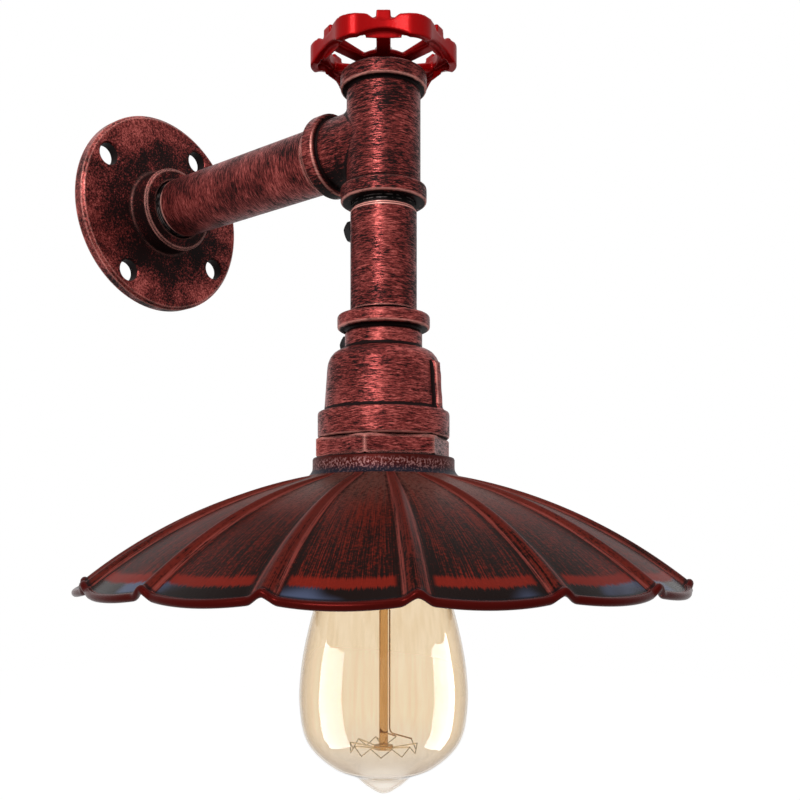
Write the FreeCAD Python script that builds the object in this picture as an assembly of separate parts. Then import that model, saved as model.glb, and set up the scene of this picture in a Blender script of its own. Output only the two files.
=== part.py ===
import FreeCAD, Part
import math
import os

from FreeCAD import Vector

# A wall lamp built from screwed iron pipe: a round wall flange, a level arm, a tee with a valve wheel
# on a rotary switch, a drop pipe, a bell reducer, a hexagon bushing with the lampholder, a ribbed
# umbrella shade and a clear bulb. Lengths are in millimetres. The origin is the middle of the
# flange's back, on the wall. X runs to the right, -Y out into the room and Z up.

# Pipe and the screwed joints
PIPE_D = 26.9              # outside of the pipe
PIPE_WALL = 2.65
THREAD_CUT = 0.65          # depth of the thread's middle line below the pipe's surface
THREAD_IN = 14.0           # thread screwed into a fitting
THREAD_OUT = 3.0           # bare thread left between a fitting and the full pipe
THREAD_OUT_LOW = 1.2       # the same at the reducer
PIPE_EDGE = 0.6            # chamfer at the pipe's ends and shoulders
SOCKET_SPARE = 2.0         # depth of a fitting's socket beyond the pipe's end
FIT = 0.05                 # radial clearance of a screwed or pressed joint
EASE = 0.3                 # clearance of a piece that is put in by hand
ROUND_STEPS = 3            # a small rounding is made of this many flats
OVER = 1.0                 # a cutting shape runs on this far past the face that it cuts

# Wall flange
FLANGE_D = 93.4
FLANGE_T = 6.0
FLANGE_EDGE = 1.4          # chamfer round the front
HUB_WALL = 6.6
HUB_RISE = 11.0            # hub beyond the plate
HUB_ROOT = 1.6             # rounding where the hub meets the plate
HUB_EDGE = 1.0
BOLT_INSET = 8.7           # middle of a hole from the plate's edge
BOLT_HOLE_D = 10.0
BOLT_HOLE_EDGE = 0.7
BOLT_COUNT = 4
BOLT_TURN = 57.0           # first hole, in degrees from +X

# Arm and tee
REACH = 148.0              # wall to the lamp's own axis
TEE_HALF = 26.0            # middle of the tee to either end of its run
TEE_BRANCH = 31.0          # middle of the tee to the face of its branch
TEE_WALL = 2.1
TEE_BRANCH_SLIM = 0.5      # the branch is this much slimmer in radius
TEE_FILLET = 3.0
COLLAR_H = 6.5
COLLAR_RISE = 2.5
COLLAR_EDGE = 0.9
GROOVE_H = 1.0             # undercut in a fitting's body next to its collar
GROOVE_IN = 0.4

# Drop pipe and reducer
DROP_BARE = 45.4           # pipe between the tee and the reducer
REDUCER_H = 49.8
REDUCER_COLLAR_H = 5.6
REDUCER_COLLAR_RISE = 3.1
REDUCER_NECK_H = 8.4
REDUCER_NECK_WALL = 2.8
NECK_GROOVE_H = 1.6        # undercut below the reducer's collar
NECK_GROOVE_IN = 0.8
BELL_WALL = 3.2
BELL_TOP_SLIM = 1.2        # the bell is this much slimmer in radius under its shoulder than at its foot
BELL_LEDGE = 0.8           # flat step from the neck to the shoulder
BELL_SHOULDER = 8.0        # height of the rounded shoulder
BELL_STEPS = 5             # flats that the shoulder is made of
BELL_ROUND = 4.0           # rounding inside the bell's top
BELL_RING_H = 10.8
BELL_RING_RISE = 2.6
BELL_RIB_W = 4.0
BELL_RIB_RISE = 1.8
BELL_RIB_START = 5.6       # top of a rib below the foot of the neck
BELL_RIB_TURN = 281.0      # first rib, in degrees from +X
BELL_RIBS = 2

# Hexagon bushing
BUSH_D = 41.6              # thread into the reducer and spigot through the shade
BUSH_SHANK = 16.0
BUSH_WEB = 3.0
BUSH_WALL = 2.5
BUSH_SPIGOT = 13.0
HEX_AF = 48.2
HEX_H = 7.8
HEX_EDGE = 1.0
HEX_TURN = 25.0            # first corner, in degrees from +X
WEB_HOLE_D = 18.0

# Lampholder
HOLDER_FLOOR = 8.8
HOLDER_H = 38.0
HOLDER_LIP = 1.6
HOLDER_EDGE = 1.0
SLEEVE_WALL = 0.8
SLEEVE_H = 19.0
HOLDER_SCREW_D = 3.5
HOLDER_SCREW_HEAD_D = 6.4
HOLDER_SCREW_HEAD_H = 2.2
HOLDER_SCREW_R = 10.2      # from the lamp's axis
POST_D = 4.4
POST_X = 4.6
POST_RISE = 4.6
POST_SINK = 4.0
TONGUE_W = 5.0
TONGUE_T = 0.5
TONGUE_GAP = 0.3           # air to the bulb's contact
TONGUE_BEND = 0.8          # outer rounding of its fold
CONTACT_DROP = 4.0         # the bulb's contact below the well's floor

# Shade
SHADE_RIBS = 16
SHADE_SHEET = 1.0
SHADE_NECK_R = 31.0        # where the ribs begin
SHADE_RIM_R = 117.8        # crest of a rib where the rolled lip begins
SHADE_CURVE_R = 200.0      # radius of the curve from neck to rim
SHADE_START = 11.0         # slope at the neck, in degrees
RIB_RISE = 2.4
RIB_HALF_NECK = 2.0        # half the width of a rib at the neck
RIB_HALF_RIM = 5.2
LOBE_REACH = 3.2           # a panel's lip runs on this far beyond the ribs' ends
LIP_R = 1.5
SLOPE_STEPS = 5            # spans of the smooth faces from neck to rim
RIB_COLUMNS = 7            # points across a rib, and across a panel
PANEL_COLUMNS = 6
LIP_STEPS = 8              # flats round the lip
SHADE_COLLAR_H = 7.5
SHADE_COLLAR_R = 28.7
SHADE_COLLAR_EDGE = 0.8
SHADE_COLLAR_FLARE = 0.7   # the collar is this much wider where it meets the slope
SHADE_COLLAR_FLARE_H = 1.4
RING_WALL = 5.2
RING_H = 8.0
RING_EDGE = 1.0
RING_NOTCH_LAND = 2.0      # uncut height of the ring above its notches
RING_NOTCHES = 12
RING_NOTCH_D = 2.4

# Switch in the top of the tee
PLUG_H = 7.0
PLUG_SINK = 3.0            # the plug's top lies below the tee's end
PIN_HOLE_D = 2.6
PIN_HOLE_R = 10.0          # from the lamp's axis
SWITCH_D = 19.0
SWITCH_H = 15.0
SWITCH_BUSH_D = 10.0
SWITCH_BUSH_RISE = 4.4     # bush above the plug
SWITCH_EDGE = 1.0
SWITCH_BUSH_EDGE = 0.5
SPINDLE_D = 6.0
SPINDLE_PLAY = 0.05        # radial running clearance
SPINDLE_IN = 10.0          # spindle inside the switch's body
NUT_AF = 14.0
NUT_H = 2.4
NUT_EDGE = 0.6
SPINDLE_EDGE = 0.5
SPINDLE_SHORT = 0.3        # the spindle's end below the wheel's top

# Valve wheel
WHEEL_GAP = 0.5            # hub above the switch's bush
HUB_D = 23.0
HUB_FOOT_D = 13.0
HUB_H = 6.4
HUB_DISH = 2.1             # height over which the hub widens
HUB_BAND = 1.2             # upright edge of the hub
HUB_SLANT = 1.6            # the hub's upper edge slopes in this far
HUB_SLANT_H = 1.2
HUB_TOP_EDGE = 0.6
WHEEL_SPOKES = 6
WHEEL_TURN = 40.0          # first spoke, in degrees from +X
SPOKE_W = 5.6
SPOKE_T = 3.4
SPOKE_ROUND = 1.0
RIM_VALLEY_R = 26.0
RIM_LOBE_R = 29.6
LOBE_ROUND = 9.0           # radius of a lobe in plan
RIM_WALL = 3.0
RIM_LOW = 1.5              # foot of a lobe above the hub's foot
RIM_H = 8.2                # height of a lobe
RIM_DIP = 2.3              # dip of the top edge between lobes
RIM_DIP_ROUND = 9.0
RIM_LIFT = 2.8             # lift of the lower edge between lobes
RIM_LIFT_ROUND = 20.0
TRACK_R = 23.6             # outside of the round inner track
TRACK_WALL = 1.9
TRACK_WEB = 2.0
TRACK_UP = 0.6             # the track's foot above the raised lower edge
LUG_W = 6.2
LUG_TOP_W = 5.4
LUG_RISE = 1.9             # lug above the lobes
LUG_BACK = 0.2             # lug behind the rim's face
WASHER_D = 10.0
WASHER_T = 0.8
WHEEL_SCREW_D = 4.0
WHEEL_SCREW_IN = 9.0
WHEEL_SCREW_HEAD_D = 7.6
WHEEL_SCREW_HEAD_H = 2.6
WHEEL_SCREW_DOME = 1.8
SLOT_W = 1.0

# Black hexagon screws in the pipework
SCREW_D = 5.0
SCREW_AF = 8.0
SCREW_HEAD_H = 3.6
SCREW_EDGE = 0.6
SCREW_SEAT = 1.0           # the head's round collar
SCREW_SINK = 0.5           # the collar's shank starts this far inside it
EARTH_DROP = 8.0           # earth screw below the tee's end
EARTH_IN = 2.2             # its tip inside the drop pipe

# Wiring
WIRE_D = 2.2
WIRE_BACK = 2.0            # the ends lie this far inside the wall face
WIRE_LOW = 6.0             # the wires in the arm lie below its axis
WIRE_SIDE = 4.5
WIRE_BEND = 5.5
WIRE_EASY_BEND = 20.0      # bends of the long runs down the drop pipe
WIRE_STRAIGHT = 12.0       # straight run above a terminal post
WIRE_NEUTRAL_BACK = 3.0    # the neutral wire behind the lamp's axis
TAG_W = 7.0
TAG_T = 0.8
TAG_TAIL = 7.0
TAG_BACK = 0.9             # air between the tag and the pipe's bore
TAG_AIR = 1.0              # air between the tag and the earth wire's end

# Bulb
BULB_D = 68.0
BULB_WALL = 0.8
BULB_TIP_WALL = 1.3
GLASS_STEPS = 16           # points that the inner line of the glass is drawn through
BULB_LENGTH = 143.3        # contact to tip
CAP_D = 26.4
CAP_WALL = 0.5
CAP_H = 22.0
CAP_EDGE = 1.2
CAP_SHELF = 3.0            # width of the cap's top inside its edge
CAP_PLAY = 0.35            # the cap in the sleeve, which stands for the two threads
GLASS_IN = 11.0            # neck of the glass inside the cap
INSULATOR_H = 2.6
CONTACT_D = 9.0
CONTACT_H = 1.0
CONTACT_EDGE = 0.6
STEM_FLARE_DOWN = 1.0      # top of the stem's flare below the neck's top
STEM_FLARE_H = 9.0
STEM_TUBE_D = 9.0
STEM_WALL = 1.0
STEM_H = 22.0              # from the neck's top to the foot of the press
STEM_PRESS_H = 5.0         # solid glass that is pressed round the leads
STEM_ROD_D = 3.6
BUTTON_D = 7.6             # button at the rod's foot that carries the supports
BUTTON_T = 1.6
LEAD_D = 0.6
LEAD_X = 1.2               # the leads in the press
LEAD_Y = 2.2
LEAD_INSIDE = 2.4          # the second lead's solder point inside the cap's edge
LEAD_TURN_UP = 6.0         # the leads turn outwards this far above the filament
LEAD_BEND = 3.0
LEAD_TOP_BEND = 2.0
FILAMENT_UP = 18.6         # middle of the filament above the bulb's tip
FILAMENT_R = 13.6
FILAMENT_H = 3.4
FILAMENT_D = 0.36
FILAMENT_TEETH = 9
FILAMENT_OPEN = 36.0       # the part of the circle that it leaves open, in degrees
SUPPORT_D = 0.5

# Worked out from the above
pipe_r = PIPE_D / 2
bore_r = pipe_r - PIPE_WALL
thread_r = pipe_r - THREAD_CUT
socket_r = thread_r + FIT
bolt_circle_r = FLANGE_D / 2 - BOLT_INSET
socket_depth = THREAD_IN + SOCKET_SPARE
hub_r = socket_r + HUB_WALL
hub_front = FLANGE_T + HUB_RISE
tee_r = socket_r + TEE_WALL
lamp_y = -REACH
tee_face = REACH - TEE_BRANCH
reducer_top = -TEE_HALF - DROP_BARE
reducer_foot = reducer_top - REDUCER_H
neck_r = socket_r + REDUCER_NECK_WALL
bush_r = BUSH_D / 2
bell_bore_r = bush_r + FIT
bell_r = bell_bore_r + BELL_WALL
bell_ring_r = bell_r + BELL_RING_RISE
shank_top = reducer_foot + BUSH_SHANK
web_foot = shank_top - BUSH_WEB
hex_foot = reducer_foot - HEX_H
spigot_foot = hex_foot - BUSH_SPIGOT
holder_r = bush_r - BUSH_WALL - EASE
sleeve_in_r = CAP_D / 2 + CAP_PLAY
sleeve_r = sleeve_in_r + SLEEVE_WALL
floor_z = web_foot - HOLDER_FLOOR
mouth_z = web_foot - HOLDER_H
contact_z = floor_z - CONTACT_DROP
tip_z = contact_z - BULB_LENGTH
cap_top = contact_z - CONTACT_H - INSULATOR_H
shoulder_z = cap_top - CAP_H
neck_top = shoulder_z + GLASS_IN
glass_neck_r = CAP_D / 2 - CAP_WALL - FIT
press_foot = neck_top - STEM_H
filament_z = tip_z + FILAMENT_UP
shade_top = hex_foot
neck_z = shade_top - SHADE_COLLAR_H
plug_top = TEE_HALF - PLUG_SINK
plug_foot = plug_top - PLUG_H
switch_foot = plug_foot - SWITCH_H
bush_top = plug_top + SWITCH_BUSH_RISE
wheel_foot = bush_top + WHEEL_GAP
wheel_top = wheel_foot + HUB_H
spindle_r = SPINDLE_D / 2
spindle_foot = plug_foot - SPINDLE_IN
earth_z = -TEE_HALF - EARTH_DROP
lock_z = reducer_top - REDUCER_COLLAR_H - REDUCER_NECK_H / 2


def outline(corners):
    """A flat face in the XZ plane. A corner is (x, z) or (x, z, radius of its rounding)."""
    places = [Vector(corner[0], 0, corner[1]) for corner in corners]
    points = []
    for i, corner in enumerate(corners):
        here = places[i]
        if len(corner) < 3:
            points.append(here)
            continue
        back = (places[i - 1] - here).normalize()
        ahead = (places[(i + 1) % len(places)] - here).normalize()
        half = back.getAngle(ahead) / 2
        centre = here + (back + ahead).normalize() * (corner[2] / math.sin(half))
        start = here + back * (corner[2] / math.tan(half)) - centre
        aside = start.cross(here - centre).normalize().cross(start)
        for step in range(ROUND_STEPS + 1):
            share = (math.pi - 2 * half) * step / ROUND_STEPS
            points.append(centre + start * math.cos(share) + aside * math.sin(share))
    return Part.Face(Part.makePolygon(points + points[:1]))


def turned(corners):
    """A solid of revolution about Z from corners given as (radius, height)."""
    return outline(corners).revolve(Vector(0, 0, 0), Vector(0, 0, 1), 360)


def rod(radius, low, high, x=0, y=0):
    """An upright round bar between two heights."""
    return Part.makeCylinder(radius, high - low, Vector(x, y, low))


def tube(outer, inner, low, high):
    """An upright tube between two heights."""
    return rod(outer, low, high).cut(rod(inner, low - OVER, high + OVER))


def prism(flats, low, high, turn=0):
    """A hexagon of the given width across flats, between two heights."""
    corner_r = flats / 2 / math.cos(math.radians(30))
    corners = []
    for i in range(7):
        angle = math.radians(turn + 60 * i)
        corners.append(Vector(corner_r * math.cos(angle), corner_r * math.sin(angle), low))
    return Part.Face(Part.makePolygon(corners)).extrude(Vector(0, 0, high - low))


def hexagon(flats, low, high, edge, turn=0):
    """A hexagon head or nut with its corners taken off by a shallow cone at both ends."""
    corner_r = flats / 2 / math.cos(math.radians(30))
    drop = edge * math.tan(math.radians(30))
    cone = turned([
        (0, low), (corner_r - edge, low), (corner_r, low + drop),
        (corner_r, high - drop), (corner_r - edge, high), (0, high),
    ])
    return prism(flats, low, high, turn).common(cone)


def spun(shape, degrees):
    """A copy turned about Z."""
    copy = shape.copy()
    copy.rotate(Vector(0, 0, 0), Vector(0, 0, 1), degrees)
    return copy


def around(shape, count, start=0):
    """Copies of a shape, evenly spaced about Z."""
    return [spun(shape, start + 360 * i / count) for i in range(count)]


def on_arm(shape):
    """Lays a piece that was drawn about Z along the arm, with its height as distance from the wall."""
    laid = shape.copy()
    laid.rotate(Vector(0, 0, 0), Vector(1, 0, 0), 90)
    return laid


def on_lamp(shape):
    """Puts a piece that was drawn about Z on the lamp's own axis."""
    moved = shape.copy()
    moved.translate(Vector(0, lamp_y, 0))
    return moved


def sideways(shape, z):
    """Turns a piece that was drawn about Z to stick out of the lamp's axis towards the wall."""
    laid = shape.copy()
    laid.rotate(Vector(0, 0, 0), Vector(1, 0, 0), -90)
    laid.translate(Vector(0, lamp_y, z))
    return laid


def threaded_pipe(low, low_out, high, high_out):
    """Pipe between two fitting faces, with a slimmer thread at each end that runs into the fitting."""
    body_low = low + low_out
    body_high = high - high_out
    return turned([
        (bore_r, low - THREAD_IN), (thread_r - PIPE_EDGE, low - THREAD_IN),
        (thread_r, low - THREAD_IN + PIPE_EDGE), (thread_r, body_low),
        (pipe_r - PIPE_EDGE, body_low), (pipe_r, body_low + PIPE_EDGE),
        (pipe_r, body_high - PIPE_EDGE), (pipe_r - PIPE_EDGE, body_high),
        (thread_r, body_high), (thread_r, high + THREAD_IN - PIPE_EDGE),
        (thread_r - PIPE_EDGE, high + THREAD_IN), (bore_r, high + THREAD_IN),
    ])


def wall_flange():
    """Cast floor flange: a round plate with a hub that the arm screws into and four holes."""
    plate = turned([
        (socket_r, 0), (FLANGE_D / 2, 0), (FLANGE_D / 2, FLANGE_T - FLANGE_EDGE),
        (FLANGE_D / 2 - FLANGE_EDGE, FLANGE_T), (hub_r, FLANGE_T, HUB_ROOT),
        (hub_r, hub_front - HUB_EDGE), (hub_r - HUB_EDGE, hub_front),
        (socket_r + HUB_EDGE, hub_front), (socket_r, hub_front - HUB_EDGE),
    ])
    hole = turned([
        (0, -OVER), (BOLT_HOLE_D / 2, -OVER), (BOLT_HOLE_D / 2, FLANGE_T - BOLT_HOLE_EDGE),
        (BOLT_HOLE_D / 2 + BOLT_HOLE_EDGE + OVER, FLANGE_T + OVER), (0, FLANGE_T + OVER),
    ])
    hole.translate(Vector(bolt_circle_r, 0, 0))
    return on_arm(plate.cut(around(hole, BOLT_COUNT, BOLT_TURN)))


def arm_pipe():
    """Level pipe from the wall flange to the tee."""
    return on_arm(threaded_pipe(hub_front, THREAD_OUT, tee_face, THREAD_OUT))


def collared(radius, low, high, collars):
    """A round fitting body with a rounded collar at the ends that are named."""
    rim = radius + COLLAR_RISE
    corners = [(0, low)]
    if "low" in collars:
        corners += [(rim, low, COLLAR_EDGE), (rim, low + COLLAR_H, COLLAR_EDGE), (radius, low + COLLAR_H)]
    else:
        corners += [(radius, low)]
    if "high" in collars:
        corners += [
            (radius, high - COLLAR_H), (rim, high - COLLAR_H, COLLAR_EDGE), (rim, high, COLLAR_EDGE),
        ]
    else:
        corners += [(radius, high)]
    corners += [(0, high)]
    return turned(corners)


def groove(radius, low, high, depth):
    """The ring that is cut out of a round body for an undercut between two heights."""
    return tube(radius + OVER, radius - depth, low, high)


def tee():
    """Cast tee: an upright run with two collars, and a slightly slimmer branch towards the wall."""
    run = rod(tee_r, -TEE_HALF, TEE_HALF)
    branch_r = tee_r - TEE_BRANCH_SLIM
    branch = sideways(rod(branch_r, 0, TEE_BRANCH), 0)
    branch.translate(Vector(0, -lamp_y, 0))
    body = run.fuse(branch)
    seam = [
        edge for edge in body.Edges
        if edge.BoundBox.XLength > branch_r and edge.BoundBox.ZLength > branch_r
        and edge.BoundBox.YMax < TEE_BRANCH - COLLAR_H and edge.BoundBox.YLength > TEE_BRANCH_SLIM
    ]
    body = body.makeFillet(TEE_FILLET, seam)
    ends = collared(tee_r, -TEE_HALF, TEE_HALF, ("low", "high"))
    mouth = sideways(collared(branch_r, TEE_BRANCH - 2 * COLLAR_H, TEE_BRANCH, ("high",)), 0)
    mouth.translate(Vector(0, -lamp_y, 0))
    body = body.fuse([ends, mouth])
    core = rod(socket_r - THREAD_CUT, -TEE_HALF - OVER, TEE_HALF + OVER)
    sockets = [rod(socket_r, TEE_HALF - socket_depth, TEE_HALF + OVER),
               rod(socket_r, -TEE_HALF - OVER, -TEE_HALF + socket_depth)]
    inlet_foot = TEE_BRANCH - socket_depth
    inlet = turned([
        (0, 0), (bore_r, 0), (bore_r, inlet_foot), (socket_r, inlet_foot), (socket_r, TEE_BRANCH + OVER),
        (0, TEE_BRANCH + OVER),
    ])
    inlet = sideways(inlet, 0)
    inlet.translate(Vector(0, -lamp_y, 0))
    groove_top = TEE_HALF - COLLAR_H
    grooves = [groove(tee_r, groove_top - GROOVE_H, groove_top, GROOVE_IN),
               groove(tee_r, -groove_top, -groove_top + GROOVE_H, GROOVE_IN)]
    side_groove_top = TEE_BRANCH - COLLAR_H
    side_groove = sideways(groove(branch_r, side_groove_top - GROOVE_H, side_groove_top, GROOVE_IN), 0)
    side_groove.translate(Vector(0, -lamp_y, 0))
    return on_lamp(body.cut([core, inlet, side_groove] + sockets + grooves).removeSplitter())


def drop_pipe():
    """Upright pipe from the tee down to the reducer, tapped for the earth screw."""
    pipe = on_lamp(threaded_pipe(reducer_top, THREAD_OUT_LOW, -TEE_HALF, THREAD_OUT))
    return pipe.cut(sideways(rod(SCREW_D / 2 + FIT, 0, pipe_r + OVER), earth_z))


def reducer():
    """Bell reducer: a collared neck for the drop pipe that opens into a wide banded socket."""
    collar = neck_r + REDUCER_COLLAR_RISE
    collar_foot = reducer_top - REDUCER_COLLAR_H
    neck_foot = collar_foot - REDUCER_NECK_H
    bell_top = neck_foot - BELL_SHOULDER
    ring_top = reducer_foot + BELL_RING_H
    core_r = socket_r - THREAD_CUT
    socket_foot = reducer_top - socket_depth
    inner_top = neck_foot - BELL_WALL
    shoulder_in = neck_r + BELL_LEDGE
    shoulder_run = bell_r - BELL_TOP_SLIM - shoulder_in
    shoulder = []
    for step in range(BELL_STEPS + 1):
        share = math.pi / 2 * step / BELL_STEPS
        height = neck_foot - BELL_SHOULDER * (1 - math.cos(share))
        shoulder.append((shoulder_in + shoulder_run * math.sin(share), height))
    body = turned([
        (socket_r, reducer_top), (collar, reducer_top, COLLAR_EDGE), (collar, collar_foot, COLLAR_EDGE),
        (neck_r - NECK_GROOVE_IN, collar_foot), (neck_r - NECK_GROOVE_IN, collar_foot - NECK_GROOVE_H),
        (neck_r, collar_foot - NECK_GROOVE_H), (neck_r, neck_foot),
    ] + shoulder + [
        (bell_r, ring_top), (bell_ring_r, ring_top, COLLAR_EDGE), (bell_ring_r, reducer_foot, COLLAR_EDGE),
        (bell_bore_r, reducer_foot), (bell_bore_r, shank_top + SOCKET_SPARE),
        (bell_bore_r - BELL_TOP_SLIM, shank_top + 2 * SOCKET_SPARE),
        (bell_bore_r - BELL_TOP_SLIM, bell_top - BELL_WALL, BELL_ROUND),
        (core_r, inner_top), (core_r, socket_foot), (socket_r, socket_foot),
    ])
    rib_top = neck_foot - BELL_RIB_START
    rib_r = bell_r - BELL_TOP_SLIM + BELL_RIB_RISE
    rib = outline([
        (bell_bore_r, rib_top), (rib_r, rib_top, BELL_RIB_RISE), (bell_r + BELL_RIB_RISE, ring_top),
        (bell_bore_r, ring_top),
    ]).extrude(Vector(0, BELL_RIB_W, 0))
    rib.translate(Vector(0, -BELL_RIB_W / 2, 0))
    bore = rod(bell_bore_r, reducer_foot - OVER, rib_top + OVER)
    ribs = [r.cut(bore) for r in around(rib, BELL_RIBS, BELL_RIB_TURN)]
    body = on_lamp(body.fuse(ribs).removeSplitter())
    return body.cut(sideways(rod(SCREW_D / 2 + FIT, 0, collar + OVER), lock_z))


def hex_bushing():
    """Hexagon bushing: a shank up into the reducer, a spigot down through the shade, and a web."""
    outside = turned([
        (0, shank_top), (bush_r - PIPE_EDGE, shank_top), (bush_r, shank_top - PIPE_EDGE),
        (bush_r, spigot_foot + PIPE_EDGE), (bush_r - PIPE_EDGE, spigot_foot), (0, spigot_foot),
    ])
    body = outside.fuse(hexagon(HEX_AF, hex_foot, reducer_foot, HEX_EDGE, HEX_TURN))
    well = rod(holder_r + EASE, spigot_foot - OVER, web_foot)
    eye = rod(WEB_HOLE_D / 2, web_foot - OVER, shank_top + OVER)
    taps = [rod(HOLDER_SCREW_D / 2 + FIT, web_foot - OVER, shank_top + OVER, 0, y)
            for y in (-HOLDER_SCREW_R, HOLDER_SCREW_R)]
    return on_lamp(body.cut([well, eye] + taps).removeSplitter())


def holder_body():
    """Glazed ceramic lampholder: a thick floor for the terminals over a round well."""
    well_r = sleeve_r + FIT
    body = turned([
        (0, web_foot), (holder_r, web_foot, HOLDER_EDGE), (holder_r, mouth_z, HOLDER_LIP),
        (well_r, mouth_z, HOLDER_LIP / 2), (well_r, floor_z), (0, floor_z),
    ])
    cuts = []
    for side in (-1, 1):
        cuts.append(rod(HOLDER_SCREW_D / 2 + FIT, floor_z - OVER, web_foot + OVER, 0, side * HOLDER_SCREW_R))
        cuts.append(rod(POST_D / 2 + FIT, web_foot - POST_SINK, web_foot + OVER, side * POST_X, 0))
    return on_lamp(body.cut(cuts))


def holder_sleeve():
    """Brass screw sleeve in the lampholder's well."""
    return on_lamp(tube(sleeve_r, sleeve_in_r, floor_z - SLEEVE_H, floor_z))


def holder_tongue():
    """Springy centre contact: a strip riveted to the floor and folded back over the axis."""
    free = contact_z + TONGUE_GAP
    fold_x = -TONGUE_W * 1.5
    strip = outline([
        (fold_x, floor_z, TONGUE_BEND), (fold_x, free, TONGUE_BEND), (TONGUE_W / 2, free),
        (TONGUE_W / 2, free + TONGUE_T), (fold_x + TONGUE_T, free + TONGUE_T, TONGUE_BEND - TONGUE_T),
        (fold_x + TONGUE_T, floor_z - TONGUE_T, TONGUE_BEND - TONGUE_T), (TONGUE_W / 2, floor_z - TONGUE_T),
        (TONGUE_W / 2, floor_z),
    ]).extrude(Vector(0, TONGUE_W, 0))
    strip.translate(Vector(0, -TONGUE_W / 2, 0))
    return on_lamp(strip)


def holder_screws():
    """Two screws that hold the lampholder up against the bushing's web."""
    head_z = floor_z - HOLDER_SCREW_HEAD_H
    screws = []
    for y in (-HOLDER_SCREW_R, HOLDER_SCREW_R):
        screw = turned([
            (0, shank_top), (HOLDER_SCREW_D / 2, shank_top), (HOLDER_SCREW_D / 2, floor_z),
            (HOLDER_SCREW_HEAD_D / 2, floor_z), (HOLDER_SCREW_HEAD_D / 2, head_z, HOLDER_EDGE), (0, head_z),
        ])
        screw.translate(Vector(0, y, 0))
        screws.append(screw)
    return on_lamp(Part.makeCompound(screws))


def holder_posts():
    """Two brass terminal posts on top of the lampholder."""
    posts = [rod(POST_D / 2, web_foot - POST_SINK, web_foot + POST_RISE, x, 0) for x in (-POST_X, POST_X)]
    return on_lamp(Part.makeCompound(posts))


def rib_share(r):
    """How far down the curve a radius lies, and the half width of a rib there as a share of its sector."""
    share = (r - SHADE_NECK_R) / (SHADE_RIM_R - SHADE_NECK_R)
    half_rib = RIB_HALF_NECK + (RIB_HALF_RIM - RIB_HALF_NECK) * share
    return share, half_rib / (r * math.pi / SHADE_RIBS)


def shade_point(tilt, across, on_rib, depth, along=0.0):
    """A point of the shade's sheet.

    tilt is the slope of the neck-to-rim curve there. across runs from -1 to 1 over a rib, or over
    the panel beside it. depth is measured into the sheet and along down the slope, past the curve.
    """
    start = math.radians(SHADE_START)
    r = SHADE_NECK_R + SHADE_CURVE_R * (math.sin(tilt) - math.sin(start))
    z = neck_z - SHADE_CURVE_R * (math.cos(start) - math.cos(tilt))
    share, half_rib = rib_share(r)
    side = half_rib * across if on_rib else 1 + (1 - half_rib) * across
    crest = 0.5 + 0.5 * math.cos(math.pi * across) if on_rib else 0
    from_rib = min(abs(side), abs(2 - side))
    run = along + LOBE_REACH * share ** 3 * (1 - (1 - from_rib) ** 2)
    sink = depth + RIB_RISE * math.sin(math.pi / 2 * share ** 0.5) * (1 - crest)
    r += run * math.cos(tilt) - sink * math.sin(tilt)
    z -= run * math.sin(tilt) + sink * math.cos(tilt)
    angle = math.pi / SHADE_RIBS * side
    return Vector(r * math.cos(angle), r * math.sin(angle), z)


def draped(rows):
    """A smooth face drawn towards rows of points, which keeps its corners and is straight over two rows."""
    counts = [len(rows), len(rows[0])]
    degrees = [min(3, count - 1) for count in counts]
    spans = [[d + 1] + [1] * (count - d - 1) + [d + 1] for d, count in zip(degrees, counts)]
    knots = [[float(i) for i in range(len(span))] for span in spans]
    surface = Part.BSplineSurface()
    surface.buildFromPolesMultsKnots(rows, *spans, *knots, False, False, *degrees)
    return surface.toShape()


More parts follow.
